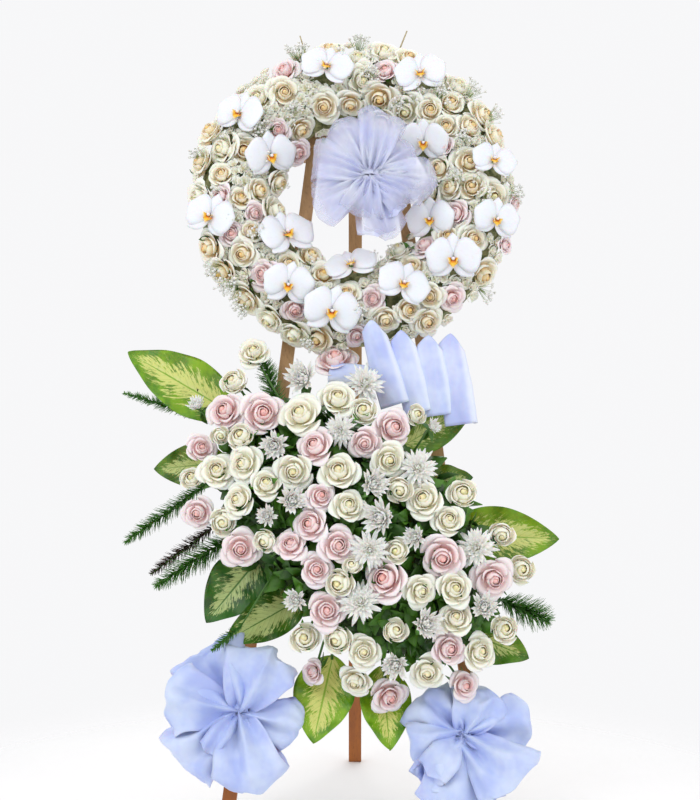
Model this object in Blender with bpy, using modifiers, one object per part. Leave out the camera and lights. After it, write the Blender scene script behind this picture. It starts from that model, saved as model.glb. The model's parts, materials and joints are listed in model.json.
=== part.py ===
"""Funeral flower stand: a wooden easel with a flower wreath, a spray of roses, mums and leaves, and satin bows.

Metres, +Z up, the flowers face -Y. The origin lies on the floor, under the middle of the whole stand.
Places read from the front are given in centimetres as (across, up), measured on an upright sheet through the
front feet, as seen by an eye EYE_AWAY in front of it; slope() carries them back to the leaning easel.
"""

import math
import random

import bmesh
import bpy
from mathutils import Matrix, Vector

CM = 0.01
GAP = 0.0004
SMALL_ROSE = 0.034
SNUG = 0.97
TOUCH = 0.97
ORCHID_ROOM = 0.62
FLAT = 6.0
STAND_NAME = "funeral_flower_stand"

# Where the easel's middle line stands from the origin
SHIFT = Vector((0.038, -0.245, 0.0))

# The eye that the front places were read with
EYE_AWAY = 3.0
EYE = Vector((-0.012, -EYE_AWAY, 0.87))

# Easel
LEAN = math.radians(12)
UPWARD = Vector((0, math.sin(LEAN), math.cos(LEAN)))
FORWARD = Vector((0, -math.cos(LEAN), math.sin(LEAN)))
LEG_WIDTH = 0.028
LEG_THICK = 0.020
FOOT_APART = 0.263
LEG_INWARD = 0.118
LEG_LENGTH = 1.535
RAIL_HEIGHT = 0.036
RAIL_THICK = 0.015
RAIL_PLACES = {"rail_top": (1.475, 0.30), "rail_wreath": (1.075, 0.36), "rail_spray": (0.575, 0.46)}
BLOCK_SIZE = Vector((0.23, 0.022, 0.075))
BLOCK_UP = 1.475
EAR_THICK = 0.014
EAR_DEPTH = 0.050
PIN_BACK = 0.030
PIN_RADIUS = 0.004
BACK_FOOT = 0.62
BACK_WIDTH = 0.030
BACK_THICK = 0.022

# Wreath, in the easel's leaning plane
WREATH_MIDDLE = (-0.5, 128.6)
FOAM_INNER = 0.200
FOAM_OUTER = 0.290
FOAM_THICK = 0.045
BAND_RADIUS = 0.250
BAND_HALF = 0.100
BAND_TILT = math.radians(72)
WREATH_LOW = 0.055
WREATH_RISE = 0.062
WREATH_FILL = ((0.160, 15), (0.205, 20), (0.252, 25), (0.298, 29), (0.340, 32))
SECTORS = 8
SECTOR_STEPS = 3
STAKE_RADIUS = 0.0024
STALK_RADIUS = 0.0034
WIRE_RADIUS = 0.0030

# Spray at mid height, a leaning half egg over a block of foam
SPRAY_MIDDLE = (0.0, 61.0)
SPRAY_LONG = 0.425
SPRAY_SHORT = 0.300
SPRAY_TURN = math.radians(-40)
SPRAY_LOW = 0.058
SPRAY_RISE = 0.200
BED_BACK = 0.036
BED_LONG = 0.325
BED_SHORT = 0.190
BED_RISE = 0.165
BED_LEAVES = 40
STEM_REACH = 0.80
TRAY_HALF = 0.150
TRAY_DEEP = 0.105
TRAY_WALL = 0.003
FOAM_HIGH = 0.115

# Blooms as (across, up, radius) in centimetres
ORCHIDS = [
    (-6.0, 153.1, 4.9), (-23.2, 144.6, 4.8), (-17.6, 136.2, 4.8), (-28.8, 124.0, 4.8), (-12.9, 121.0, 5.3),
    (13.6, 152.6, 4.8), (13.0, 139.4, 4.6), (14.2, 124.6, 4.5), (28.2, 134.8, 4.2), (28.5, 123.4, 4.4),
    (20.0, 115.6, 5.0), (9.4, 109.8, 4.8), (-0.6, 114.6, 4.9), (-13.6, 109.4, 4.6), (-5.4, 104.4, 5.2),
]
WREATH_PINKS = [
    (-14.6, 154.2, 2.8), (-14.8, 140.8, 2.3), (-10.8, 137.2, 2.3), (6.0, 153.1, 2.5), (-25.5, 120.6, 2.5),
    (-26.8, 127.6, 2.5), (-20.6, 125.2, 2.1), (-18.4, 111.8, 2.8), (-12.8, 105.4, 2.5), (3.4, 107.3, 2.3),
    (19.5, 124.4, 2.8), (12.8, 118.5, 2.5), (19.5, 107.3, 2.5), (17.0, 137.2, 2.0), (30.8, 118.6, 1.7),
    (31.8, 127.4, 1.7), (0.0, 99.6, 2.1),
]
WREATH_CREAMS = [
    (-14.6, 148.8, 2.9), (-5.8, 145.4, 2.8), (-1.2, 146.0, 2.5), (-10.8, 141.1, 2.5), (-27.3, 131.0, 2.5),
    (-19.0, 129.2, 2.5), (-22.6, 126.8, 2.3), (-15.3, 132.0, 2.5), (14.6, 144.6, 2.6), (19.2, 146.8, 2.7),
    (17.6, 141.6, 2.5), (23.2, 142.2, 2.7), (16.2, 133.6, 2.5), (18.6, 129.8, 2.5), (-21.0, 121.0, 2.5),
    (-23.0, 116.4, 2.6), (-6.6, 113.8, 2.6), (-2.0, 108.0, 2.6), (-13.2, 114.6, 2.5), (18.0, 120.0, 2.4),
    (23.8, 119.0, 2.5), (10.6, 105.0, 2.4), (6.6, 103.0, 2.6), (14.2, 102.8, 2.6), (15.6, 107.4, 2.4),
]
SPRAY_WHITES = [
    (-20.7, 97.8, 3.0), (-24.8, 91.6, 2.6), (-10.8, 84.4, 4.0), (-23.6, 79.8, 2.6), (-27.2, 80.4, 1.8),
    (-23.2, 74.6, 3.2), (-28.6, 73.0, 3.2), (-33.0, 71.4, 2.2), (-12.5, 74.0, 3.4), (-23.8, 67.0, 3.2),
    (-17.9, 70.0, 3.0), (-27.4, 62.6, 2.6), (-18.2, 59.4, 2.4), (-3.7, 88.0, 3.6), (1.9, 85.6, 2.6),
    (11.0, 83.4, 2.0), (6.5, 75.5, 3.2), (-3.2, 73.2, 3.6), (8.6, 68.8, 2.6), (-1.4, 66.2, 3.2),
    (14.0, 67.4, 3.5), (22.0, 68.6, 2.8), (18.6, 63.4, 3.0), (29.7, 60.3, 2.4), (8.8, 57.4, 2.4),
    (12.2, 49.0, 3.0), (33.6, 53.2, 2.6), (20.0, 48.8, 3.4), (20.8, 43.0, 3.2), (30.0, 41.2, 2.6),
    (25.1, 36.0, 3.2), (14.7, 32.2, 3.2), (-2.4, 50.8, 2.8), (-0.4, 54.0, 1.8), (-3.9, 38.8, 2.8),
    (-10.9, 38.8, 2.8), (1.4, 36.0, 3.1), (8.2, 40.6, 2.4), (-0.3, 30.0, 3.0),
]
SPRAY_MUMS = [
    (-9.7, 92.7, 4.0), (2.1, 91.3, 3.4), (-32.2, 85.8, 2.2), (-16.2, 78.6, 3.4), (-2.4, 80.8, 2.8),
    (14.6, 82.4, 1.9), (-13.8, 67.2, 3.4), (-17.2, 64.0, 2.6), (3.6, 70.4, 3.6), (12.6, 73.8, 3.4),
    (5.2, 63.6, 4.2), (3.4, 57.6, 3.4), (12.6, 58.4, 2.8), (24.2, 57.5, 3.4), (1.1, 46.8, 3.6),
    (-11.8, 46.6, 2.8), (26.2, 44.8, 3.3), (13.6, 41.0, 3.8), (8.0, 33.6, 3.3),
]
# The pink roses, each group one branch
SPRAY_PINKS = [
    [(-26.7, 85.4, 3.6), (-18.9, 84.2, 4.0), (-31.9, 77.6, 2.7)],
    [(-7.9, 77.6, 3.6), (2.4, 80.4, 3.0), (7.6, 81.8, 3.6)],
    [(-7.4, 67.8, 2.7), (-9.8, 62.6, 3.4), (-13.1, 58.2, 3.0)],
    [(-4.2, 58.2, 3.5), (-8.3, 53.0, 3.0), (-6.6, 44.4, 3.6)],
    [(18.2, 37.4, 3.3), (21.8, 29.0, 2.8)],
    [(-32.5, 64.5, 3.0)], [(-4.2, 96.2, 3.8)], [(-24.0, 57.2, 3.4)], [(6.2, 50.6, 4.1)],
    [(17.6, 56.6, 4.1)], [(28.6, 51.6, 3.7)], [(-8.9, 31.6, 2.3)], [(6.2, 26.4, 3.2)],
]

# Leaves as (root, tip, half width, lift at root, lift at tip, roll in degrees), places in centimetres
LEAVES = {
    "leaf_top_left": ((-24.0, 84.0), (-45.6, 96.6), 6.2, 2.4, 5.0, 12),
    "leaf_left": ((-25.4, 74.6), (-40.4, 73.2), 4.6, 1.0, 2.0, -14),
    "leaf_ribbon": ((8.0, 77.0), (23.8, 86.4), 4.4, 1.5, 3.0, 10),
    "leaf_right_upper": ((12.0, 70.6), (23.4, 71.6), 3.2, 1.5, 2.6, -10),
    "leaf_right": ((18.0, 60.4), (40.6, 59.2), 6.0, 2.4, 6.0, 8),
    "leaf_right_low": ((19.0, 42.0), (34.6, 35.4), 5.0, 2.4, 4.5, -14),
    "leaf_bottom": ((-4.6, 36.0), (-8.6, 18.4), 6.2, 2.8, 6.5, 6),
    "leaf_bottom_right": ((5.2, 34.0), (6.8, 17.0), 5.2, 2.6, 7.5, -8),
    "leaf_low_left": ((-18.4, 56.6), (-30.0, 42.6), 6.0, 2.0, 5.2, 6),
    "leaf_lower_left": ((-9.6, 48.0), (-26.4, 38.6), 4.6, 2.2, 10.5, -8),
}
# Fronds as (root, tip, half width, lift at root, lift at tip, leaflets a side)
FRONDS = {
    "frond_left": ((-30.0, 70.0), (-46.2, 58.6), 2.6, 3.0, 8.0, 10),
    "frond_dark": ((-27.0, 62.6), (-41.0, 52.2), 2.2, 2.4, 5.5, 9),
    "frond_left_low": ((-23.0, 61.0), (-40.0, 49.8), 3.6, 4.6, 9.0, 10),
    "frond_hanging": ((-22.6, 42.4), (-28.8, 36.8), 1.5, 10.6, 13.0, 6),
    "frond_right": ((29.0, 47.0), (38.6, 43.0), 4.2, 3.0, 7.5, 9),
    "frond_top_left": ((-28.0, 83.0), (-46.4, 88.4), 1.9, 0.8, 1.4, 9),
    "frond_top": ((-15.0, 84.0), (-18.6, 95.4), 3.2, 3.4, 5.6, 9),
}

# Satin and tulle: each bow's loops as (direction in degrees from across, length, half width)
TULLE_LOOPS = [(34, 0.105, 0.046), (78, 0.145, 0.052), (118, 0.135, 0.050), (166, 0.136, 0.046),
               (212, 0.138, 0.050), (256, 0.100, 0.046), (286, 0.142, 0.042), (322, 0.112, 0.046), (352, 0.136, 0.046)]
LEFT_BOW_LOOPS = [(-14, 0.132, 0.050), (62, 0.148, 0.074), (118, 0.154, 0.078),
                  (168, 0.150, 0.064), (222, 0.162, 0.066), (282, 0.160, 0.070)]
RIGHT_BOW_LOOPS = [(8, 0.130, 0.062), (62, 0.105, 0.058), (138, 0.115, 0.062),
                   (206, 0.110, 0.064), (262, 0.150, 0.070), (318, 0.160, 0.068)]
TULLE_PLACE = (2.8, 131.6)
TULLE_HOOK = (1.6, 142.0)
LEFT_BOW_PLACE = (-23.4, 24.6)
RIGHT_BOW_PLACE = (21.0, 20.0)
PLEATS = [((3.2, 103.0), (8.2, 86.0), 3.4), ((9.2, 101.0), (13.0, 84.6), 3.4),
          ((14.8, 100.0), (17.2, 84.0), 3.6), ((19.2, 100.4), (21.6, 82.2), 3.8)]
LOOP_SIDES = 6
PLEAT_WING = ((5.0, 92.0), (-5.6, 92.6), 2.6)

# Colours as (red, green, blue, roughness)
WOOD = (0.55, 0.33, 0.17, 0.65)
STEEL = (0.60, 0.60, 0.62, 0.40)
FOAM = (0.10, 0.30, 0.12, 0.85)
PLASTIC = (0.05, 0.16, 0.07, 0.60)
GREEN = (0.10, 0.33, 0.05, 0.60)
LEAF_GREEN = (0.28, 0.50, 0.08, 0.50)
CREAM = (0.93, 0.91, 0.80, 0.65)
PINK = (0.95, 0.72, 0.74, 0.65)
SATIN = (0.72, 0.77, 0.96, 0.45)
TULLE = (0.82, 0.83, 0.97, 0.60)
CANE = (0.70, 0.66, 0.52, 0.60)


def lean_point(across, along, forward):
    """A point by its place on the easel's front plane and its distance in front of it."""
    return Vector((across, 0, 0)) + UPWARD * along + FORWARD * forward


def slope(across, up, forward):
    """The point this far in front of the easel's plane that is seen at a front place, in centimetres."""
    seen = Vector((across * CM, 0, up * CM)) - EYE
    reach = (forward - EYE.dot(FORWARD)) / seen.dot(FORWARD)
    return EYE + seen * reach


def lean_place(point):
    """(across, along) of a point on the easel's plane."""
    return point.x, point.dot(UPWARD)


def frame_for(normal, spin):
    """A turn that takes +Z to the normal, with a spin about it."""
    return normal.to_track_quat("Z", "Y").to_matrix().to_4x4() @ Matrix.Rotation(spin, 4, "Z")


def material(name, colour):
    made = bpy.data.materials.get(name) or bpy.data.materials.new(name)
    made.use_nodes = True
    shader = made.node_tree.nodes["Principled BSDF"]
    shader.inputs["Base Color"].default_value = (*colour[:3], 1)
    shader.inputs["Roughness"].default_value = colour[3]
    return made


def add(name, bm, collection, colour=None):
    """The mesh as an object of the collection."""
    bmesh.ops.recalc_face_normals(bm, faces=bm.faces)
    mesh = bpy.data.meshes.new(name)
    bm.to_mesh(mesh)
    bm.free()
    made = bpy.data.objects.new(name, mesh)
    collection.objects.link(made)
    if colour:
        mesh.materials.append(material(name.rstrip("_0123456789"), colour))
    return made


def box(size, matrix):
    bm = bmesh.new()
    bmesh.ops.create_cube(bm, size=1, matrix=matrix @ Matrix.Diagonal((*size, 1)))
    return bm


def rod(start, end, radius, end_radius=None, sides=3):
    """A straight bar between two points."""
    bm = bmesh.new()
    along = end - start
    turn = along.to_track_quat("Z", "Y").to_matrix().to_4x4()
    bmesh.ops.create_cone(bm, cap_ends=True, segments=sides, radius1=radius,
                          radius2=radius if end_radius is None else end_radius, depth=along.length,
                          matrix=Matrix.Translation((start + end) / 2) @ turn)
    return bm


def loft(rings, matrix):
    """A closed solid through rings of points; the first and last are single points."""
    bm = bmesh.new()
    made = [[bm.verts.new(matrix @ Vector(point)) for point in ring] for ring in rings]
    for lower, upper in zip(made, made[1:]):
        count = max(len(lower), len(upper))
        for i in range(count):
            j = (i + 1) % count
            corners = [lower[i % len(lower)], lower[j % len(lower)], upper[j % len(upper)], upper[i % len(upper)]]
            face = []
            for corner in corners:
                if corner not in face:
                    face.append(corner)
            bm.faces.new(face)
    bmesh.ops.triangulate(bm, faces=bm.faces)
    return bm


def lobed(count, outer, inner, outer_z, inner_z, turn=0.0):
    """A ring whose points alternate between lobe tips and the dips between them."""
    points = []
    for i in range(2 * count):
        angle = turn + math.pi * i / count
        reach = inner if i % 2 else outer
        points.append((reach * math.cos(angle), reach * math.sin(angle), inner_z if i % 2 else outer_z))
    return points


def rose(radius, matrix, lobes):
    """Outer petals, the valley inside them and a ring of curled inner petals over a cupped calyx."""
    step = math.pi / lobes
    return loft([
        [(0, 0, -1.35 * radius)],
        lobed(lobes, radius, 0.90 * radius, -0.34 * radius, -0.20 * radius),
        lobed(lobes, 0.68 * radius, 0.60 * radius, -0.44 * radius, -0.36 * radius),
        lobed(lobes, 0.52 * radius, 0.42 * radius, -0.02 * radius, -0.10 * radius, step),
        [(0, 0, -0.22 * radius)],
    ], matrix)


def mum(radius, matrix, petals=7):
    """Long outer petals, a shorter upright ring and a domed middle."""
    step = math.pi / petals
    return loft([
        [(0, 0, -0.95 * radius)],
        lobed(petals, radius, 0.58 * radius, -0.16 * radius, -0.44 * radius),
        lobed(petals, 0.56 * radius, 0.34 * radius, 0.02 * radius, -0.22 * radius, step),
        [(0, 0, 0.04 * radius)],
    ], matrix)


def orchid_reach(angle):
    """Outline of five petals: two wide ones at the sides, one above, two below."""
    wide = 0.62 * abs(math.cos(angle)) ** 1.5
    others = 0.34 * max(0.0, math.cos(3 * (angle - math.pi / 2))) ** 1.2
    return 0.42 + max(wide, others)


def orchid(radius, matrix):
    """A thin five-petalled face with a hollow middle, on a short stalk."""
    outline = []
    for i in range(12):
        angle = math.pi / 2 + 2 * math.pi * i / 12
        reach = radius * orchid_reach(angle)
        outline.append((reach * math.cos(angle), reach * math.sin(angle), 0.10 * radius * math.cos(2 * angle)))
    stalk = [(0.16 * x, 0.16 * y, -0.16 * radius) for x, y, z in outline]
    back = [(0.985 * x, 0.985 * y, z - 0.0014) for x, y, z in outline]
    return loft([[(0, 0, -0.85 * radius)], stalk, back, outline, [(0, 0, -0.04 * radius)]], matrix)


def orchid_lip(radius, matrix):
    """The small lip that stands out of an orchid's middle."""
    ring = [(0.13 * radius, 0, 0.02 * radius), (0, 0.16 * radius, 0.06 * radius),
            (-0.13 * radius, 0, 0.02 * radius), (0, -0.22 * radius, 0.08 * radius)]
    return loft([[(0, 0, -0.14 * radius)], ring, [(0, -0.05 * radius, 0.20 * radius)]], matrix)


def hull_of(points, grow):
    """The closed outer shape of the points, grown about its middle."""
    bm = bmesh.new()
    middle = sum(points, Vector()) / len(points)
    for point in points:
        bm.verts.new(middle + (point - middle) * grow)
    made = bmesh.ops.convex_hull(bm, input=bm.verts)
    unused = {v for v in made["geom_interior"] + made["geom_unused"] if isinstance(v, bmesh.types.BMVert)}
    bmesh.ops.delete(bm, geom=list(unused), context="VERTS")
    return bm


def apply_boolean(target, others, operation):
    """Joins the others to the target, or cuts them from it, and removes them."""
    if not others:
        return target
    tools = bpy.data.collections.new("tools")
    bpy.context.scene.collection.children.link(tools)
    for other in others:
        for home in list(other.users_collection):
            home.objects.unlink(other)
        tools.objects.link(other)
    modifier = target.modifiers.new("join", "BOOLEAN")
    modifier.operation = operation
    modifier.solver = "MANIFOLD"
    modifier.operand_type = "COLLECTION"
    modifier.collection = tools
    bpy.context.view_layer.update()
    graph = bpy.context.evaluated_depsgraph_get()
    mesh = bpy.data.meshes.new_from_object(target.evaluated_get(graph))
    target.modifiers.clear()
    spare = target.data
    target.data = mesh
    bpy.data.meshes.remove(spare)
    for other in list(tools.objects):
        bpy.data.meshes.remove(other.data)
    bpy.data.collections.remove(tools)
    return target


def keep_main_body(target):
    """Drops the loose scraps that a cut leaves."""
    bm = bmesh.new()
    bm.from_mesh(target.data)
    left = set(bm.verts)
    bodies = []
    while left:
        front = [left.pop()]
        body = set(front)
        while front:
            vert = front.pop()
            for edge in vert.link_edges:
                other = edge.other_vert(vert)
                if other not in body:
                    body.add(other)
                    front.append(other)
        left -= body
        bodies.append(body)
    bodies.sort(key=len)
    for scrap in bodies[:-1]:
        bmesh.ops.delete(bm, geom=list(scrap), context="VERTS")
    bmesh.ops.dissolve_limit(bm, angle_limit=math.radians(FLAT), verts=bm.verts, edges=bm.edges)
    bmesh.ops.triangulate(bm, faces=bm.faces)
    bm.to_mesh(target.data)
    bm.free()
    return target


def fuse(name, pieces, collection, colour, cutters=()):
    """One closed body of the pieces, less the cutters, which are meshes too."""
    scratch = bpy.context.scene.collection
    target = add(name, pieces[0], collection, colour)
    apply_boolean(target, [add(name + "_piece", piece, scratch) for piece in pieces[1:]], "UNION")
    apply_boolean(target, [add(name + "_cutter", cutter, scratch) for cutter in cutters], "DIFFERENCE")
    return keep_main_body(target)


def lean_box(name, size, across, along, forward, collection, colour):
    """A box on the easel's leaning plane: size is (across, out of the plane, along)."""
    turn = Matrix.Rotation(-LEAN, 4, "X")
    return add(name, box(size, Matrix.Translation(lean_point(across, along, forward)) @ turn), collection, colour)


def batten_mesh(foot, top, width, thick):
    """A straight batten whose foot is sawn level with the floor."""
    along = (top - foot).normalized()
    side = Vector((1, 0, 0)) - along * along.x
    side.normalize()
    turn = Matrix((side, along.cross(side), along)).transposed().to_4x4()
    start = foot - along * 0.1
    length = (top - start).length
    bm = box((width, thick, length), Matrix.Translation(start + along * length / 2) @ turn)
    cut = bmesh.ops.bisect_plane(bm, geom=bm.verts[:] + bm.edges[:] + bm.faces[:], plane_co=(0, 0, 0),
                                 plane_no=(0, 0, 1), clear_inner=True)
    bmesh.ops.holes_fill(bm, edges=[e for e in cut["geom_cut"] if isinstance(e, bmesh.types.BMEdge)])
    return bm


def front_leg(side, margin=0.0):
    """A front leg, or with a margin the room that it needs; side is -1 for left, 1 for right."""
    foot = lean_point(side * FOOT_APART, 0, -LEG_THICK / 2)
    top = lean_point(side * (FOOT_APART - LEG_INWARD * LEG_LENGTH), LEG_LENGTH, -LEG_THICK / 2)
    return batten_mesh(foot, top, LEG_WIDTH + 2 * margin, LEG_THICK + 2 * margin)


def pin_point():
    return lean_point(0, BLOCK_UP, -LEG_THICK - 2 * GAP - BLOCK_SIZE.y - PIN_BACK)


def make_easel(parts):
    """Two front legs, three rails, the block at the top with its two ears, the hinge pin and the back leg."""
    for name, side in (("leg_left", -1), ("leg_right", 1)):
        add(name, front_leg(side), parts, WOOD)
    for name, (along, wide) in RAIL_PLACES.items():
        lean_box(name, (wide, RAIL_THICK, RAIL_HEIGHT), 0, along, GAP + RAIL_THICK / 2, parts, WOOD)
    pin = pin_point()
    turn = Matrix.Rotation(-LEAN, 4, "X")
    block_at = lean_point(0, BLOCK_UP, -LEG_THICK - GAP - BLOCK_SIZE.y / 2)
    pieces = [box(BLOCK_SIZE, Matrix.Translation(block_at) @ turn)]
    ear_at = BACK_WIDTH / 2 + 0.001 + EAR_THICK / 2
    for side in (-1, 1):
        middle = lean_point(side * ear_at, BLOCK_UP, -LEG_THICK - GAP - BLOCK_SIZE.y + 0.004 - EAR_DEPTH / 2)
        pieces.append(box((EAR_THICK, EAR_DEPTH, BLOCK_SIZE.z * 0.8), Matrix.Translation(middle) @ turn))
    reach = ear_at + EAR_THICK
    hole = rod(pin - Vector((reach, 0, 0)), pin + Vector((reach, 0, 0)), PIN_RADIUS + GAP, sides=24)
    fuse("top_block", pieces, parts, WOOD, [hole])
    half = ear_at + EAR_THICK / 2 + 0.003
    add("hinge_pin", rod(pin - Vector((half, 0, 0)), pin + Vector((half, 0, 0)), PIN_RADIUS, sides=24), parts, STEEL)
    foot = Vector((0, BACK_FOOT, 0))
    beyond = (pin - foot).normalized() * 0.014
    bore = rod(pin - Vector((reach, 0, 0)), pin + Vector((reach, 0, 0)), PIN_RADIUS + 2 * GAP, sides=24)
    fuse("back_leg", [batten_mesh(foot, pin + beyond, BACK_WIDTH, BACK_THICK)], parts, WOOD, [bore])


def ring_point(angle, radius, forward):
    across, along = wreath_centre()
    return lean_point(across + radius * math.cos(angle), along + radius * math.sin(angle), forward)


def wreath_centre():
    return lean_place(slope(*WREATH_MIDDLE, 0.08))


def make_wreath_foam(parts, stakes):
    """The wet foam ring, with plain holes for the stakes."""
    first = RAIL_THICK + 2 * GAP
    profile = [(FOAM_INNER, first), (FOAM_OUTER, first), (FOAM_OUTER, first + FOAM_THICK * 0.7),
               (FOAM_OUTER - 0.015, first + FOAM_THICK), (FOAM_INNER + 0.015, first + FOAM_THICK),
               (FOAM_INNER, first + FOAM_THICK * 0.7)]
    bm = bmesh.new()
    steps = 24
    rings = []
    for i in range(steps):
        angle = 2 * math.pi * i / steps
        rings.append([bm.verts.new(ring_point(angle, radius, forward)) for radius, forward in profile])
    for i, ring in enumerate(rings):
        following = rings[(i + 1) % steps]
        for j in range(len(profile)):
            k = (j + 1) % len(profile)
            bm.faces.new((ring[j], ring[k], following[k], following[j]))
    holes = [rod(start, end, STAKE_RADIUS + GAP, sides=6) for start, end in stakes]
    fuse("wreath_foam", [bm], parts, FOAM, holes)


def stake_lines():
    """Two canes that stand out over the wreath: (start inside the foam, tip)."""
    lines = []
    for low, high in (((-9.2, 153.4), (-11.2, 159.8)), ((7.2, 153.4), (10.2, 160.8))):
        lines.append((slope(*low, 0.036), slope(*high, 0.036)))
    return lines


def sector_core(index):
    """A stretch of the moss bed that wraps the front and both sides of the foam."""
    low = 0.036
    top = RAIL_THICK + 2 * GAP + FOAM_THICK
    profile = [(0.168, low), (FOAM_INNER - 0.003, low), (FOAM_INNER - 0.003, top + 0.0005),
               (FOAM_OUTER + 0.003, top + 0.0005), (FOAM_OUTER + 0.003, low), (0.330, low), (0.322, 0.066),
               (0.285, 0.082), (0.215, 0.082), (0.175, 0.064)]
    bm = bmesh.new()
    wide = 2 * math.pi / SECTORS
    edge = 0.0015
    rings = []
    for step in range(SECTOR_STEPS + 1):
        angle = wide * (index - 0.5) + edge + (wide - 2 * edge) * step / SECTOR_STEPS
        rings.append([bm.verts.new(ring_point(angle, radius, forward)) for radius, forward in profile])
    for ring, following in zip(rings, rings[1:]):
        for j in range(len(profile)):
            k = (j + 1) % len(profile)
            bm.faces.new((ring[j], ring[k], following[k], following[j]))
    bm.faces.new(rings[0])
    bm.faces.new(rings[-1][::-1])
    return bm


def wreath_blooms():
    """Every bloom of the wreath as (kind, radius, matrix, angle round the ring), with gaps filled by a seeded rule."""
    draw = random.Random(11)
    centre = wreath_centre()
    placed = []

    def settle(kind, across, along, radius, lift):
        away = Vector((across - centre[0], along - centre[1]))
        distance, angle = away.length, math.atan2(away.y, away.x)
        tilt = BAND_TILT * max(-1, min(1, (distance - BAND_RADIUS) / BAND_HALF))
        outward = Vector((math.cos(angle), 0, 0)) + UPWARD * math.sin(angle)
        normal = outward * math.sin(tilt) + FORWARD * math.cos(tilt)
        forward = WREATH_LOW + WREATH_RISE * math.cos(tilt) + lift
        spin = draw.uniform(-0.3, 0.3) if kind == "orchid" else draw.uniform(0, 6.28)
        if kind == "orchid":
            normal = (normal + FORWARD * 0.8).normalized()
        place = Matrix.Translation(lean_point(across, along, forward)) @ frame_for(normal, spin)
        placed.append((kind, radius, place, angle, Vector((across, along))))

    spots = []
    for kind, table in (("orchid", ORCHIDS), ("pink", WREATH_PINKS), ("cream", WREATH_CREAMS)):
        for across, up, radius in table:
            lift = 0.016 if kind == "orchid" else 0.0
            point = slope(across, up, WREATH_LOW + WREATH_RISE * 0.8 + lift)
            spots.append([*lean_place(point), radius * CM * 1.08 * SNUG, kind, lift])
    for radius, count in WREATH_FILL:
        for i in range(count):
            angle = 2 * math.pi * (i + draw.uniform(-0.2, 0.2)) / count
            x, y = centre[0] + radius * math.cos(angle), centre[1] + radius * math.sin(angle)
            size = draw.uniform(0.027, 0.031)
            room = min(math.hypot(x - other[0], y - other[1]) - other[2] * (ORCHID_ROOM if other[3] == "orchid" else 1)
                       for other in spots)
            if room > 0.55 * size:
                spots.append([x, y, size, "fill", -0.002])
    for spot in spots:
        spot[2] *= ORCHID_ROOM if spot[3] == "orchid" else 1
    spread(spots)
    for x, y, radius, kind, lift in spots:
        settle(kind, x, y, radius / ORCHID_ROOM if kind == "orchid" else radius, lift)
    return placed


def bloom_mesh(kind, radius, place):
    if kind == "orchid":
        return orchid(radius, place)
    if kind == "mum":
        return mum(radius, place)
    return rose(radius, place, 3 if radius < SMALL_ROSE else 4)


def envelope(kind, radius, place, grow=1.05):
    bm = bloom_mesh(kind, radius, place)
    points = [v.co.copy() for v in bm.verts]
    bm.free()
    return hull_of(points, grow)


def breath_sprig(angle, radius, draw):
    """A sprig of baby's breath: thin stalks from one root, each with a small round head."""
    root = ring_point(angle, radius * 0.92, 0.070)
    pieces = []
    for _ in range(3):
        turn = angle + draw.uniform(-0.10, 0.10)
        reach = radius + draw.uniform(0.012, 0.030)
        tip = ring_point(turn, reach, 0.098 + draw.uniform(-0.012, 0.016))
        pieces.append(rod(root, tip, 0.0022, 0.0014, 3))
        ring = [(0.007, 0, 0), (0, 0.007, 0), (-0.007, 0, 0), (0, -0.007, 0)]
        pieces.append(loft([[(0, 0, -0.006)], ring, [(0, 0, 0.006)]], Matrix.Translation(tip)))
    return pieces


def make_wreath_flowers(parts, cutters):
    """The foliage and blooms of the ring, split in sectors round its hole."""
    draw = random.Random(5)
    blooms = wreath_blooms()
    wide = 2 * math.pi / SECTORS
    owner = [int(((bloom[3] + wide / 2) % (2 * math.pi)) / wide) % SECTORS for bloom in blooms]
    reach = 0.11
    for index in range(SECTORS):
        mine = [bloom for bloom, own in zip(blooms, owner) if own == index]
        foreign = [(bloom, own) for bloom, own in zip(blooms, owner) if own != index
                   and min((bloom[4] - other[4]).length for other in mine) < reach]
        core = fuse("core", [sector_core(index)], bpy.context.scene.collection, CREAM,
                    [envelope(*bloom[:3]) for bloom, own in foreign])
        pieces = [bloom_mesh(*bloom[:3]) for bloom in mine]
        pieces += [orchid_lip(*bloom[1:3]) for bloom in mine if bloom[0] == "orchid"]
        pieces += breath_sprig(wide * (index + draw.uniform(-0.34, 0.34)), draw.choice((0.30, 0.325)), draw)
        earlier = [envelope(*bloom[:3]) for bloom, own in foreign if own < index]
        pads = [sector_core(k) for k in range(SECTORS) if k != index]
        heads = fuse_loose("heads", pieces, earlier + pads)
        target = take_over(f"wreath_flowers_{index + 1}", core, parts, CREAM)
        apply_boolean(target, [heads], "UNION")
        cut_from(target, cutters())
        keep_main_body(target)


def take_over(name, source, collection, colour):
    """A named part that has a working object's mesh."""
    target = bpy.data.objects.new(name, source.data.copy())
    collection.objects.link(target)
    target.data.materials.clear()
    target.data.materials.append(material(name.rstrip("_0123456789"), colour))
    bpy.data.meshes.remove(source.data)
    return target


def cut_from(target, cutters):
    apply_boolean(target, [add("cutter", cutter, bpy.context.scene.collection) for cutter in cutters], "DIFFERENCE")


def fuse_loose(name, pieces, cutters):
    """The pieces joined and cut, which may stay several bodies until they meet their core."""
    scratch = bpy.context.scene.collection
    target = add(name, pieces[0], scratch)
    apply_boolean(target, [add(name + "_piece", piece, scratch) for piece in pieces[1:]], "UNION")
    apply_boolean(target, [add(name + "_cutter", cutter, scratch) for cutter in cutters], "DIFFERENCE")
    return target


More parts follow.
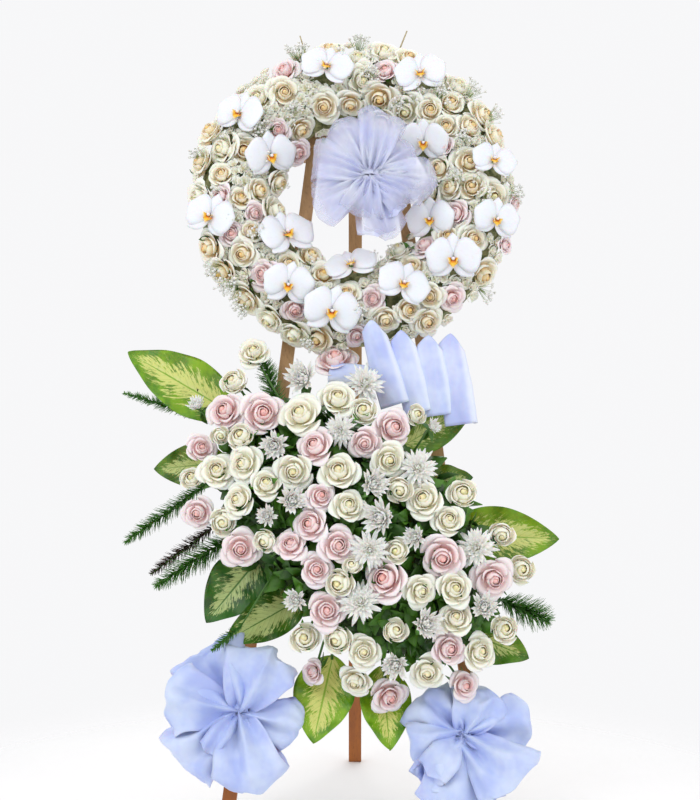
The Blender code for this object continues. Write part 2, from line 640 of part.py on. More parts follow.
def spray_axes(point):
    """How far a point lies along the spray's long and short axes."""
    across, along = lean_place(point)
    middle = lean_place(slope(*SPRAY_MIDDLE, SPRAY_LOW))
    dx, dy = across - middle[0], along - middle[1]
    cos, sin = math.cos(SPRAY_TURN), math.sin(SPRAY_TURN)
    return dx * cos + dy * sin, dy * cos - dx * sin


def spray_point(p, q, forward):
    middle = lean_place(slope(*SPRAY_MIDDLE, SPRAY_LOW))
    cos, sin = math.cos(SPRAY_TURN), math.sin(SPRAY_TURN)
    return lean_point(middle[0] + p * cos - q * sin, middle[1] + p * sin + q * cos, forward)


def settle_on_spray(across, up, radius, kind, draw):
    """A bloom seen at a front place, set on the egg-shaped surface of the spray and facing out of it."""
    forward = SPRAY_LOW + SPRAY_RISE / 2
    for _ in range(6):
        point = slope(across, up, forward)
        p, q = spray_axes(point)
        inside = 1 - (p / SPRAY_LONG) ** 2 - (q / SPRAY_SHORT) ** 2
        forward = SPRAY_LOW + SPRAY_RISE * math.sqrt(max(inside, 0.004))
    cos, sin = math.cos(SPRAY_TURN), math.sin(SPRAY_TURN)
    gp, gq = p / SPRAY_LONG ** 2, q / SPRAY_SHORT ** 2
    normal = (Vector((1, 0, 0)) * (gp * cos - gq * sin) + UPWARD * (gp * sin + gq * cos)
              + FORWARD * ((forward - SPRAY_LOW) / SPRAY_RISE ** 2 + 1.2)).normalized()
    scale = SNUG * (EYE - point).length / EYE_AWAY
    return kind, radius * CM * scale, Matrix.Translation(point) @ frame_for(normal, draw.uniform(0, 6.28))


def spread(spots, rounds=14):
    """Moves crowded spots apart a little at a time; each is [across, up, radius]."""
    for _ in range(rounds):
        for i, one in enumerate(spots):
            for other in spots[i + 1:]:
                away = Vector((other[0] - one[0], other[1] - one[1]))
                short = (one[2] + other[2]) * TOUCH - away.length
                if short > 0:
                    push = away.normalized() * short * 0.25
                    one[0], one[1] = one[0] - push.x, one[1] - push.y
                    other[0], other[1] = other[0] + push.x, other[1] + push.y


def spray_groups():
    """The spray's blooms as groups that each make one branch."""
    draw = random.Random(21)
    pink_spots = [[list(row) for row in group] for group in SPRAY_PINKS]
    rose_spots = [list(row) for row in SPRAY_WHITES]
    mum_spots = [list(row) for row in SPRAY_MUMS]
    spread([spot for group in pink_spots for spot in group] + rose_spots + mum_spots)
    pinks = [[settle_on_spray(*spot, "pink", draw) for spot in group] for group in pink_spots]
    whites = [settle_on_spray(*spot, "rose", draw) for spot in rose_spots]
    whites += [settle_on_spray(*spot, "mum", draw) for spot in mum_spots]
    thirds = [[], [], []]
    for bloom in whites:
        p, _ = spray_axes(bloom[2].translation)
        thirds[0 if p < -0.13 else 1 if p < 0.10 else 2].append(bloom)
    return pinks, thirds


def below(bloom, share):
    """A point under the bloom's face, by a share of its radius."""
    return bloom[2] @ Vector((0, 0, -share * bloom[1]))


def stem_of(bloom, radius):
    """A bloom's stem: straight down into the greens, or aslant where the bloom stands out past them."""
    start = below(bloom, 0.8)
    p, q = spray_axes(start)
    out = math.hypot(p / BED_LONG, q / BED_SHORT)
    if out < STEM_REACH:
        return start, below(bloom, 1.4 + 0.030 / bloom[1]), radius
    return start, spray_point(p * STEM_REACH / out, q * STEM_REACH / out, BED_BACK + 0.035), radius


def branch_bars(group, radius):
    """Side stems that join a group's blooms under their heads by the shortest tree."""
    bars = []
    joined = [group[0]]
    waiting = list(group[1:])
    while waiting:
        near, far = min(((a, b) for a in joined for b in waiting),
                        key=lambda pair: (below(pair[0], 0.9) - below(pair[1], 0.9)).length)
        bars.append((below(near, 0.9), below(far, 0.9), radius))
        joined.append(far)
        waiting.remove(far)
    return bars


def bed_point(share_p, share_q):
    """A point on the bed's domed surface and the way it faces."""
    inside = max(0.0, 1 - share_p ** 2 - share_q ** 2)
    height = math.sqrt(inside)
    point = spray_point(share_p * BED_LONG, share_q * BED_SHORT, BED_BACK + BED_RISE * height)
    flat = spray_point(share_p, share_q, 0) - spray_point(0, 0, 0)
    return point, (flat * 1.2 + FORWARD * (height + 0.1)).normalized()


def bed_core():
    """The domed heart of the greens, flat at the back."""
    rings = [[tuple(spray_point(0, 0, BED_BACK))]]
    around = 15
    for share in (1.0, 0.82, 0.5):
        ring = []
        for i in range(around):
            angle = 2 * math.pi * i / around
            swell = 1 + 0.05 * math.cos(5 * angle)
            ring.append(tuple(bed_point(share * swell * math.cos(angle), share * swell * math.sin(angle))[0]))
        rings.append(ring)
    rings.append([tuple(bed_point(0, 0)[0])])
    return loft(rings, Matrix.Identity(4))


def bed_leaves(draw):
    """Short pointed leaves that stand out of the heart all over."""
    blades = []
    turn = math.pi * (3 - math.sqrt(5))
    for i in range(BED_LEAVES):
        share = 0.96 * math.sqrt((i + 0.5) / BED_LEAVES)
        root, way = bed_point(share * math.cos(i * turn), share * math.sin(i * turn))
        side = way.cross(Vector((draw.uniform(-1, 1), draw.uniform(-1, 1), draw.uniform(-1, 1)))).normalized()
        up = side.cross(way)
        lean = (way + up * draw.uniform(0.3, 0.9)).normalized()
        long = draw.uniform(0.045, 0.065)
        start = root - lean * 0.012
        belly = root + lean * long * 0.35
        points = [start, root + lean * long, belly + side * 0.014, belly - side * 0.014,
                  belly + way * 0.002, belly - way * 0.0035]
        blades.append(hull_of(points, 1.0))
    return blades


def spine_point(root, tip, lift_root, lift_tip, t, arch):
    """A point along a leaf's midrib, which runs out from its root and arches forward."""
    across = root[0] + (tip[0] - root[0]) * t
    up = root[1] + (tip[1] - root[1]) * t
    lift = lift_root + (lift_tip - lift_root) * t * t + arch * math.sin(math.pi * t)
    return slope(across, up, lift * CM)


def leaf_frame(shape, t):
    """(point, way along, way across, way up) on a leaf's midrib."""
    root, tip, _, lift_root, lift_tip, roll = shape
    here = spine_point(root, tip, lift_root, lift_tip, t, 0.5)
    ahead = spine_point(root, tip, lift_root, lift_tip, min(1.0, t + 0.01), 0.5)
    behind = spine_point(root, tip, lift_root, lift_tip, max(0.0, t - 0.01), 0.5)
    along = (ahead - behind).normalized()
    across = along.cross(FORWARD).normalized()
    up = across.cross(along)
    turn = Matrix.Rotation(math.radians(roll) * t, 3, along)
    return here, along, turn @ across, turn @ up


def leaf_width(t):
    """Share of the half width: broad below the middle, drawn out to a point."""
    return math.sin(math.pi * t ** 0.82) ** 0.8 if 0 < t < 1 else 0.0


def leaf_blade(shape, steps=8):
    """A broad blade, keeled along its midrib, with waved edges."""
    bm = bmesh.new()
    rows = []
    for i in range(steps + 1):
        t = i / steps
        here, along, across, up = leaf_frame(shape, t)
        half = shape[2] * CM * leaf_width(t)
        if half < 1e-4:
            rows.append([bm.verts.new(here)])
            continue
        row = []
        for share in (-1, -0.5, 0, 0.5, 1):
            wave = 0.0022 * math.sin(7.0 * t * math.pi + share) * abs(share)
            row.append(bm.verts.new(here + across * half * share + up * (half * 0.16 * abs(share) + wave)))
        rows.append(row)
    for row, following in zip(rows, rows[1:]):
        for j in range(4):
            if len(row) == 1:
                bm.faces.new((row[0], following[j + 1], following[j]))
            elif len(following) == 1:
                bm.faces.new((row[j], row[j + 1], following[0]))
            else:
                bm.faces.new((row[j], row[j + 1], following[j + 1]))
                bm.faces.new((row[j], following[j + 1], following[j]))
    return thickened(bm, 0.0014)


def thickened(bm, thick):
    """The open sheet made solid, with the same triangles on both faces."""
    mesh = bpy.data.meshes.new("sheet")
    bmesh.ops.recalc_face_normals(bm, faces=bm.faces)
    bm.to_mesh(mesh)
    bm.free()
    sheet = bpy.data.objects.new("sheet", mesh)
    bpy.context.scene.collection.objects.link(sheet)
    solid = sheet.modifiers.new("thick", "SOLIDIFY")
    solid.thickness = thick
    solid.offset = 0
    bpy.context.view_layer.update()
    made = bmesh.new()
    made.from_mesh(sheet.evaluated_get(bpy.context.evaluated_depsgraph_get()).to_mesh())
    bpy.data.meshes.remove(mesh)
    return made


def frond_blade(shape):
    """Slim leaflets cut to the rib, all in one arched blade."""
    root, tip, half_width, lift_root, lift_tip, leaflets = shape
    outline = (root, tip, half_width, lift_root, lift_tip, 0)
    bm = bmesh.new()
    rib = []
    for i in range(leaflets + 1):
        t = i / leaflets
        here, along, across, up = leaf_frame(outline, t)
        thin = 0.0016 * (1.2 - t)
        rib.append((bm.verts.new(here - across * thin), bm.verts.new(here + across * thin)))
    for i in range(leaflets):
        first, second = rib[i], rib[i + 1]
        bm.faces.new((first[0], first[1], second[1]))
        bm.faces.new((first[0], second[1], second[0]))
        t = (i + 1) / leaflets
        here, along, across, up = leaf_frame(outline, t)
        reach = half_width * CM * math.sin(math.pi * (0.12 + 0.84 * t)) ** 0.6
        sweep = along * reach * 0.45 - up * reach * 0.18
        left = bm.verts.new(here - across * reach + sweep)
        right = bm.verts.new(here + across * reach + sweep)
        bm.faces.new((first[0], second[0], left))
        bm.faces.new((second[1], first[1], right))
    return thickened(bm, 0.0010)


def stalk_of(shape):
    """The stalk from a blade's root to its place inside the foam block."""
    middle = lean_place(slope(*SPRAY_MIDDLE, SPRAY_LOW))
    start = leaf_frame((*shape[:5], 0), 0.06)[0]
    across, along = lean_place(start)
    across = max(-TRAY_HALF + 0.02, min(TRAY_HALF - 0.02, across))
    along = middle[1] + max(-0.035, min(0.035, along - middle[1]))
    return start, lean_point(across, along, 0.075)


def satin_loop(centre, angle, length, half, tilt, draw):
    """A puffed, creased loop of ribbon that runs out from the knot."""
    way = Vector((math.cos(angle), 0, 0)) + UPWARD * math.sin(angle)
    way = (way * math.cos(tilt) + FORWARD * math.sin(tilt)).normalized()
    side = way.cross(FORWARD).normalized()
    front = side.cross(way)
    rings = [[tuple(centre - way * 0.012)]]
    for share, wide in ((0.26, 0.46), (0.80, 1.0)):
        ring = []
        for i in range(LOOP_SIDES):
            turn = 2 * math.pi * (i + draw.uniform(-0.15, 0.15)) / LOOP_SIDES
            crease = 1.0 if i % 2 else 0.74
            ring.append(tuple(centre + way * length * share + side * math.cos(turn) * half * wide * crease
                              + front * math.sin(turn) * half * 0.55 * wide * crease))
        rings.append(ring)
    rings.append([tuple(centre + way * length)])
    return loft(rings, Matrix.Identity(4))


def bow_pieces(place, forward, loops, tilt, seed):
    draw = random.Random(seed)
    centre = slope(*place, forward)
    pieces = []
    for i, (angle, length, half) in enumerate(loops):
        lift = tilt * (1 if i % 2 else 0.35)
        pieces.append(satin_loop(centre, math.radians(angle), length, half, lift, draw))
    knot = bmesh.new()
    bmesh.ops.create_icosphere(knot, subdivisions=1, radius=0.026, matrix=Matrix.Translation(centre))
    return pieces + [knot]


def pleat(top, foot, half):
    """A folded length of satin, narrow at its top fold and open at its foot."""
    start, end = slope(*top, 0.118), slope(*foot, 0.096)
    way = (end - start).normalized()
    side = way.cross(FORWARD).normalized()
    front = side.cross(way)
    rings = [[tuple(start)]]
    for share, wide in ((0.10, 0.50), (0.55, 0.80), (0.96, 1.0)):
        here = start + (end - start) * share
        ring = [(-1, 0), (-0.55, 0.42), (0.05, -0.05), (0.5, 0.5), (1, 0), (0, -0.3)]
        rings.append([tuple(here + side * x * half * wide * CM + front * y * half * wide * CM) for x, y in ring])
    rings.append([tuple(end)])
    return loft(rings, Matrix.Identity(4))


def tulle_pin():
    """The wire that pins the tulle bow's top into the ring: start, end."""
    return slope(*TULLE_HOOK, 0.150), slope(1.4, 147.0, 0.066)


def ribbon_wire():
    """The wire that holds the pleated ribbon under the ring: start, end."""
    return slope(9.4, 98.0, 0.108), slope(8.8, 104.4, 0.066)


def wire_cutters():
    """The plain holes that the wires and canes stand in."""
    cutters = [rod(*tulle_pin(), WIRE_RADIUS + 2 * GAP), rod(*ribbon_wire(), WIRE_RADIUS + 2 * GAP)]
    return cutters + [rod(start, end, STAKE_RADIUS + GAP, sides=6) for start, end in stake_lines()]


def make_spray_foam(parts, stalks):
    """The tray on the lower rail and the wet foam in it, with a plain hole for each stalk."""
    middle = lean_place(slope(*SPRAY_MIDDLE, SPRAY_LOW))[1]
    turn = Matrix.Rotation(-LEAN, 4, "X")
    first = RAIL_THICK + 2 * GAP
    rim = 0.028

    def slab(half, high, back, front):
        size = (2 * half, front - back, high)
        return box(size, Matrix.Translation(lean_point(0, middle, (front + back) / 2)) @ turn)

    outer = slab(TRAY_HALF + TRAY_WALL + GAP, FOAM_HIGH + 2 * TRAY_WALL + 2 * GAP, first, first + rim)
    inner = slab(TRAY_HALF + GAP, FOAM_HIGH + 2 * GAP, first + TRAY_WALL, first + 2 * rim)
    fuse("spray_tray", [outer], parts, PLASTIC, [inner])
    foam = slab(TRAY_HALF, FOAM_HIGH, first + TRAY_WALL + GAP, TRAY_DEEP)
    fuse("spray_foam", [foam], parts, FOAM, [rod(a, b, STALK_RADIUS + 2 * GAP) for a, b in stalks])
    room = slab(TRAY_HALF + 2 * GAP, FOAM_HIGH + 4 * GAP, 0.0, TRAY_DEEP + GAP)
    tray_room = slab(TRAY_HALF + TRAY_WALL + 3 * GAP, FOAM_HIGH + 2 * TRAY_WALL + 6 * GAP, 0.0, first + rim + GAP)
    return [room, tray_room]


def make_spray(parts):
    """Foam, greens, leaves, fronds and blooms of the spray. Returns the blooms for the ribbon to clear."""
    draw = random.Random(8)
    stalks = [stalk_of(shape) for shape in list(LEAVES.values()) + list(FRONDS.values())]
    foam_room = make_spray_foam(parts, stalks)
    pinks, whites = spray_groups()
    pink_bars = [branch_bars(group, 0.0035) for group in pinks]
    white_bars = [branch_bars(group, 0.0060) for group in whites]
    pink_stems = [[stem_of(bloom, 0.0030) for bloom in group] for group in pinks]
    white_stems = [[stem_of(bloom, 0.0040) for bloom in group[::5]] for group in whites]

    def rods(lines, margin=0.0):
        return [rod(a, b, radius + 2 * margin) for a, b, radius in lines]

    taken = []
    for number, (group, bars, stems) in enumerate(zip(pinks, pink_bars, pink_stems), 1):
        pieces = [bloom_mesh(*bloom) for bloom in group] + rods(bars) + rods(stems)
        before = [envelope(*bloom) for bloom in taken]
        fuse(f"pink_roses_{number}", pieces, parts, PINK, before)
        taken += group
    all_pinks = [bloom for group in pinks for bloom in group]
    pink_lines = [line for lines in pink_bars + pink_stems for line in lines]
    earlier = []
    earlier_lines = []
    for number, (group, bars, stems) in enumerate(zip(whites, white_bars, white_stems), 1):
        pieces = [bloom_mesh(*bloom) for bloom in group] + rods(bars) + rods(stems)
        cutters = [envelope(*bloom) for bloom in all_pinks + earlier] + rods(pink_lines + earlier_lines, GAP)
        fuse(f"white_blooms_{number}", pieces, parts, CREAM, cutters)
        earlier += group
        earlier_lines += bars + stems
    blooms = all_pinks + earlier
    lines = pink_lines + earlier_lines
    cutters = [envelope(*bloom) for bloom in blooms] + rods(lines, GAP) + foam_room
    cutters += [rod(a, b, STALK_RADIUS + 2 * GAP) for a, b in stalks]
    fuse("spray_greens", [bed_core()] + bed_leaves(draw), parts, GREEN, cutters)
    shapes = list(LEAVES.items()) + list(FRONDS.items())
    for number, ((name, shape), stalk) in enumerate(zip(shapes, stalks)):
        rooms = [rod(a, b, STALK_RADIUS + 2 * GAP) for a, b in stalks]
        others = rooms[:number] + rooms[number + 1:]
        blade = leaf_blade(shape) if name in LEAVES else frond_blade(shape)
        clear = [envelope(*bloom) for bloom in blooms] + rods(lines, GAP)
        loose = fuse_loose("blade", [blade], others + clear)
        target = take_over(name, loose, parts, LEAF_GREEN if name in LEAVES else GREEN)
        apply_boolean(target, [add("stalk", rod(*stalk, STALK_RADIUS), bpy.context.scene.collection)], "UNION")
        cut_from(target, [rod(a, b, STALK_RADIUS + 2 * GAP) for a, b in stalks[:number]])
        keep_main_body(target)
    return blooms


def make_fabric(parts, blooms):
    """The tulle bow, the pleated ribbon and the two satin bows."""
    ring_blooms = wreath_blooms()
    near = [envelope(*bloom[:3]) for bloom in ring_blooms]
    pin = tulle_pin()
    pieces = bow_pieces(TULLE_PLACE, 0.150, TULLE_LOOPS, 0.20, 3)
    pieces += [rod(*pin, WIRE_RADIUS), rod(slope(*TULLE_PLACE, 0.150), pin[0], WIRE_RADIUS)]
    fuse("tulle_bow", pieces, parts, TULLE, near)
    near = [envelope(*bloom[:3]) for bloom in ring_blooms] + [envelope(*bloom) for bloom in blooms]
    pieces = [pleat(*shape) for shape in PLEATS] + [pleat(*PLEAT_WING), rod(*ribbon_wire(), WIRE_RADIUS)]
    fuse("pleated_ribbon", pieces, parts, SATIN, near)
    for name, place, loops, side, seed in (("bow_left", LEFT_BOW_PLACE, LEFT_BOW_LOOPS, -1, 4),
                                           ("bow_right", RIGHT_BOW_PLACE, RIGHT_BOW_LOOPS, 1, 9)):
        pieces = bow_pieces(place, 0.048, loops, 0.35, seed)
        centre = slope(*place, 0)
        middle = Vector((side * (FOOT_APART - LEG_INWARD * centre.dot(UPWARD)), 0, 0))
        middle += UPWARD * centre.dot(UPWARD) + FORWARD * 0.002
        turn = Matrix.Rotation(-LEAN, 4, "X")
        pieces.append(box((0.052, 0.056, 0.040), Matrix.Translation(middle) @ turn))
        fuse(name, pieces, parts, SATIN, [front_leg(side, 2 * GAP)])


def main():
    for leftover in list(bpy.data.objects):
        bpy.data.objects.remove(leftover)
    parts = bpy.data.collections.new(STAND_NAME)
    bpy.context.scene.collection.children.link(parts)
    make_easel(parts)
    stakes = stake_lines()
    make_wreath_foam(parts, stakes)
    for name, (start, end) in zip(("cane_left", "cane_right"), stakes):
        add(name, rod(start, end, STAKE_RADIUS, 0.0016, 6), parts, CANE)
    make_wreath_flowers(parts, wire_cutters)
    blooms = make_spray(parts)
    make_fabric(parts, blooms)
    stand = bpy.data.objects.new("stand", None)
    hinge = bpy.data.objects.new("back_leg_hinge", None)
    for empty in (stand, hinge):
        bpy.context.scene.collection.objects.link(empty)
    hinge.location = pin_point()
    hinge.parent = stand
    for made in parts.objects:
        made.parent = stand
        if made.name == "back_leg":
            made.parent = hinge
            made.matrix_parent_inverse = Matrix.Translation(-pin_point())
    stand.location = SHIFT


main()
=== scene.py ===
"""Looks of the funeral flower stand: petals, leaves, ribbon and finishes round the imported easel.

Places read from the front are (across, up) in centimetres on an upright sheet through the front feet, as
an eye EYE_AWAY in front of it sees them; slope() carries them back to the leaning easel, as the part's own
source does. Shapes are worked out with the easel's middle line at the origin and moved by SHIFT at the end.
"""

import json
import math
import random

import bmesh
import bpy
from mathutils import Matrix, Quaternion, Vector, noise


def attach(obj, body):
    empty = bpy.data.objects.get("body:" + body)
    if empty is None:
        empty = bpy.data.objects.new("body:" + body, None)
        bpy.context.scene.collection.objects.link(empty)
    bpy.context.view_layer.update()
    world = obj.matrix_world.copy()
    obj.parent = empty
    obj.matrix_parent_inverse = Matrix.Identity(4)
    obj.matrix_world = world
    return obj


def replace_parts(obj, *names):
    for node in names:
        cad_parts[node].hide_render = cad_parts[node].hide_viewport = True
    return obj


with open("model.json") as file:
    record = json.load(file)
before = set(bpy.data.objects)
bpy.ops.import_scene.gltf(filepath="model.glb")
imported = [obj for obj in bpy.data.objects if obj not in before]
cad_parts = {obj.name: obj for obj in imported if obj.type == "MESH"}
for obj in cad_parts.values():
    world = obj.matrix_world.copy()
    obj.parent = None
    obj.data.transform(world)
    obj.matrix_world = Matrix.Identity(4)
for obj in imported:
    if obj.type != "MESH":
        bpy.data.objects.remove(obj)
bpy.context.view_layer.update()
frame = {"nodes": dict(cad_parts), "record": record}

CM = 0.01
GOLDEN = math.pi * (3 - math.sqrt(5))
ANY_TURN = 6.28
SHIFT = Vector((0.038, -0.245, 0.0))

# The eye and the picture
EYE_AWAY = 3.0
EYE = Vector((-0.012, -EYE_AWAY, 0.87))
LENS = 67.5
SENSOR = 36.0

# Floor and soft studio light: each lamp as (name, place, size, power)
FLOOR_EDGE = 1.3
FLOOR_FADE = 0.35
FLOOR_DROP = 0.001
LAMPS = (("key", (-1.8, -3.2, 3.4), 1.6, 40), ("fill", (2.6, -3.0, 1.6), 2.4, 14),
         ("back", (0.4, 2.6, 3.2), 2.0, 40))
LAMP_AIM = Vector((0, 0, 0.9))
SKY_STRENGTH = 0.94

# Easel
LEAN = math.radians(12)
UPWARD = Vector((0, math.sin(LEAN), math.cos(LEAN)))
FORWARD = Vector((0, -math.cos(LEAN), math.sin(LEAN)))

# How closely blooms are set, and how fast crowded ones are moved apart
SNUG = 0.97
TOUCH = 0.97
SWELL = 1.08
SPREAD_ROUNDS = 14
SPREAD_PUSH = 0.25

# Wreath
WREATH_SEED = 11
ORCHID_ROOM = 0.62
ORCHID_LIFT = 0.016
ORCHID_FACING = 0.8
WREATH_MIDDLE = (-0.5, 128.6)
BAND_RADIUS = 0.250
BAND_HALF = 0.100
BAND_TILT = math.radians(72)
WREATH_LOW = 0.055
WREATH_RISE = 0.062
WREATH_FILL = ((0.160, 15), (0.205, 20), (0.252, 25), (0.298, 29), (0.340, 32))
FILL_SIZES = (0.027, 0.031)
FILL_LIFT = -0.002
FILL_ROOM = 0.55
SECTORS = 8
STRETCH = 2 * math.pi / SECTORS
STRETCH_GAP = 0.0015
# The moss bed's outline as (distance from the ring's middle, height)
RING_PROFILE = ((0.197, 0.036), (0.168, 0.036), (0.175, 0.064), (0.215, 0.082), (0.285, 0.082),
                (0.322, 0.066), (0.330, 0.036), (0.293, 0.036), (0.293, 0.0614), (0.197, 0.0614))

# Spray
SPRAY_SEED = 21
SETTLE_ROUNDS = 6
SPRAY_FACING = 1.2
SPRAY_THIRDS = (-0.13, 0.10)
SPRAY_MIDDLE = (0.0, 61.0)
SPRAY_LONG = 0.425
SPRAY_SHORT = 0.300
SPRAY_TURN = math.radians(-40)
SPRAY_LOW = 0.058
SPRAY_RISE = 0.200
BUD_RADIUS = 0.0275
BED_BACK = 0.036
BED_LONG = 0.325
BED_SHORT = 0.190
BED_RISE = 0.165
STEM_REACH = 0.80

# Foam block, as far as stems may be pushed into it
FOAM_LONG = 0.130
FOAM_SHORT = 0.035
FOAM_TOP = 0.106

# Blooms as (across, up, radius) in centimetres
ORCHIDS = [
    (-6.0, 153.1, 4.9), (-23.2, 144.6, 4.8), (-17.6, 136.2, 4.8), (-28.8, 124.0, 4.8), (-12.9, 121.0, 5.3),
    (13.6, 152.6, 4.8), (13.0, 139.4, 4.6), (14.2, 124.6, 4.5), (28.2, 134.8, 4.2), (28.5, 123.4, 4.4),
    (20.0, 115.6, 5.0), (9.4, 109.8, 4.8), (-0.6, 114.6, 4.9), (-13.6, 109.4, 4.6), (-5.4, 104.4, 5.2),
]
WREATH_PINKS = [
    (-14.6, 154.2, 2.8), (-14.8, 140.8, 2.3), (-10.8, 137.2, 2.3), (6.0, 153.1, 2.5), (-25.5, 120.6, 2.5),
    (-26.8, 127.6, 2.5), (-20.6, 125.2, 2.1), (-18.4, 111.8, 2.8), (-12.8, 105.4, 2.5), (3.4, 107.3, 2.3),
    (19.5, 124.4, 2.8), (12.8, 118.5, 2.5), (19.5, 107.3, 2.5), (17.0, 137.2, 2.0), (30.8, 118.6, 1.7),
    (31.8, 127.4, 1.7), (0.0, 99.6, 2.1),
]
WREATH_CREAMS = [
    (-14.6, 148.8, 2.9), (-5.8, 145.4, 2.8), (-1.2, 146.0, 2.5), (-10.8, 141.1, 2.5), (-27.3, 131.0, 2.5),
    (-19.0, 129.2, 2.5), (-22.6, 126.8, 2.3), (-15.3, 132.0, 2.5), (14.6, 144.6, 2.6), (19.2, 146.8, 2.7),
    (17.6, 141.6, 2.5), (23.2, 142.2, 2.7), (16.2, 133.6, 2.5), (18.6, 129.8, 2.5), (-21.0, 121.0, 2.5),
    (-23.0, 116.4, 2.6), (-6.6, 113.8, 2.6), (-2.0, 108.0, 2.6), (-13.2, 114.6, 2.5), (18.0, 120.0, 2.4),
    (23.8, 119.0, 2.5), (10.6, 105.0, 2.4), (6.6, 103.0, 2.6), (14.2, 102.8, 2.6), (15.6, 107.4, 2.4),
]
SPRAY_WHITES = [
    (-20.7, 97.8, 3.0), (-24.8, 91.6, 2.6), (-10.8, 84.4, 4.0), (-23.6, 79.8, 2.6), (-27.2, 80.4, 1.8),
    (-23.2, 74.6, 3.2), (-28.6, 73.0, 3.2), (-33.0, 71.4, 2.2), (-12.5, 74.0, 3.4), (-23.8, 67.0, 3.2),
    (-17.9, 70.0, 3.0), (-27.4, 62.6, 2.6), (-18.2, 59.4, 2.4), (-3.7, 88.0, 3.6), (1.9, 85.6, 2.6),
    (11.0, 83.4, 2.0), (6.5, 75.5, 3.2), (-3.2, 73.2, 3.6), (8.6, 68.8, 2.6), (-1.4, 66.2, 3.2),
    (14.0, 67.4, 3.5), (22.0, 68.6, 2.8), (18.6, 63.4, 3.0), (29.7, 60.3, 2.4), (8.8, 57.4, 2.4),
    (12.2, 49.0, 3.0), (33.6, 53.2, 2.6), (20.0, 48.8, 3.4), (20.8, 43.0, 3.2), (30.0, 41.2, 2.6),
    (25.1, 36.0, 3.2), (14.7, 32.2, 3.2), (-2.4, 50.8, 2.8), (-0.4, 54.0, 1.8), (-3.9, 38.8, 2.8),
    (-10.9, 38.8, 2.8), (1.4, 36.0, 3.1), (8.2, 40.6, 2.4), (-0.3, 30.0, 3.0),
]
SPRAY_MUMS = [
    (-9.7, 92.7, 4.0), (2.1, 91.3, 3.4), (-32.2, 85.8, 2.2), (-16.2, 78.6, 3.4), (-2.4, 80.8, 2.8),
    (14.6, 82.4, 1.9), (-13.8, 67.2, 3.4), (-17.2, 64.0, 2.6), (3.6, 70.4, 3.6), (12.6, 73.8, 3.4),
    (5.2, 63.6, 4.2), (3.4, 57.6, 3.4), (12.6, 58.4, 2.8), (24.2, 57.5, 3.4), (1.1, 46.8, 3.6),
    (-11.8, 46.6, 2.8), (26.2, 44.8, 3.3), (13.6, 41.0, 3.8), (8.0, 33.6, 3.3),
]
# The pink roses, each group one branch
SPRAY_PINKS = [
    [(-26.7, 85.4, 3.6), (-18.9, 84.2, 4.0), (-31.9, 77.6, 2.7)],
    [(-7.9, 77.6, 3.6), (2.4, 80.4, 3.0), (7.6, 81.8, 3.6)],
    [(-7.4, 67.8, 2.7), (-9.8, 62.6, 3.4), (-13.1, 58.2, 3.0)],
    [(-4.2, 58.2, 3.5), (-8.3, 53.0, 3.0), (-6.6, 44.4, 3.6)],
    [(18.2, 37.4, 3.3), (21.8, 29.0, 2.8)],
    [(-32.5, 64.5, 3.0)], [(-4.2, 96.2, 3.8)], [(-24.0, 57.2, 3.4)], [(6.2, 50.6, 4.1)],
    [(17.6, 56.6, 4.1)], [(28.6, 51.6, 3.7)], [(-8.9, 31.6, 2.3)], [(6.2, 26.4, 3.2)],
]

# Broad leaves: side veins on each half, how far they slant, and the blade's waves and ribs
SIDE_VEINS = 15
VEIN_SLANT = 0.30
LEAF_ARCH = 0.5
LEAF_WAVE = 0.0026
LEAF_RIB = 0.0006
LEAF_GROOVE = 0.0010
LEAF_THICK = 0.0009
LEAF_STEM = (0.0028, 0.0034)
MIDRIB_DROP = 0.0022
MIDRIB_PARTS = 10

# Flowers of radius 1: how thick petals are, how deep a rose's petals go and where they start
PETAL_THICK = 0.012
ROSE_THICK = 0.014
ROSE_DEEP = 0.75
ROSE_ROOT = 0.06
SEPALS = 5
TUFT_PETALS = 9

# Leaves as (root, tip, half width, lift at root, lift at tip, roll in degrees), places in centimetres
LEAVES = {
    "leaf_top_left": ((-24.0, 84.0), (-45.6, 96.6), 6.2, 2.4, 5.0, 12),
    "leaf_left": ((-25.4, 74.6), (-40.4, 73.2), 4.6, 1.0, 2.0, -14),
    "leaf_ribbon": ((8.0, 77.0), (23.8, 86.4), 4.4, 1.5, 3.0, 10),
    "leaf_right_upper": ((12.0, 70.6), (23.4, 71.6), 3.2, 1.5, 2.6, -10),
    "leaf_right": ((18.0, 60.4), (40.6, 59.2), 6.0, 2.4, 6.0, 8),
    "leaf_right_low": ((19.0, 42.0), (34.6, 35.4), 5.0, 2.4, 4.5, -14),
    "leaf_bottom": ((-4.6, 36.0), (-8.6, 18.4), 6.2, 2.8, 6.5, 6),
    "leaf_bottom_right": ((5.2, 34.0), (6.8, 17.0), 5.2, 2.6, 7.5, -8),
    "leaf_low_left": ((-18.4, 56.6), (-30.0, 42.6), 6.0, 2.0, 5.2, 6),
    "leaf_lower_left": ((-9.6, 48.0), (-26.4, 38.6), 4.6, 2.2, 10.5, -8),
}
# How yellow each leaf is and how much cream it carries
LEAF_TONES = {
    "leaf_top_left": (0.85, 0.62), "leaf_left": (0.35, 0.50), "leaf_ribbon": (0.55, 0.45),
    "leaf_right_upper": (0.25, 0.35), "leaf_right": (0.75, 0.68), "leaf_right_low": (0.45, 0.35),
    "leaf_bottom": (1.0, 0.60), "leaf_bottom_right": (0.95, 0.52), "leaf_low_left": (0.05, 0.50),
    "leaf_lower_left": (0.20, 0.85),
}
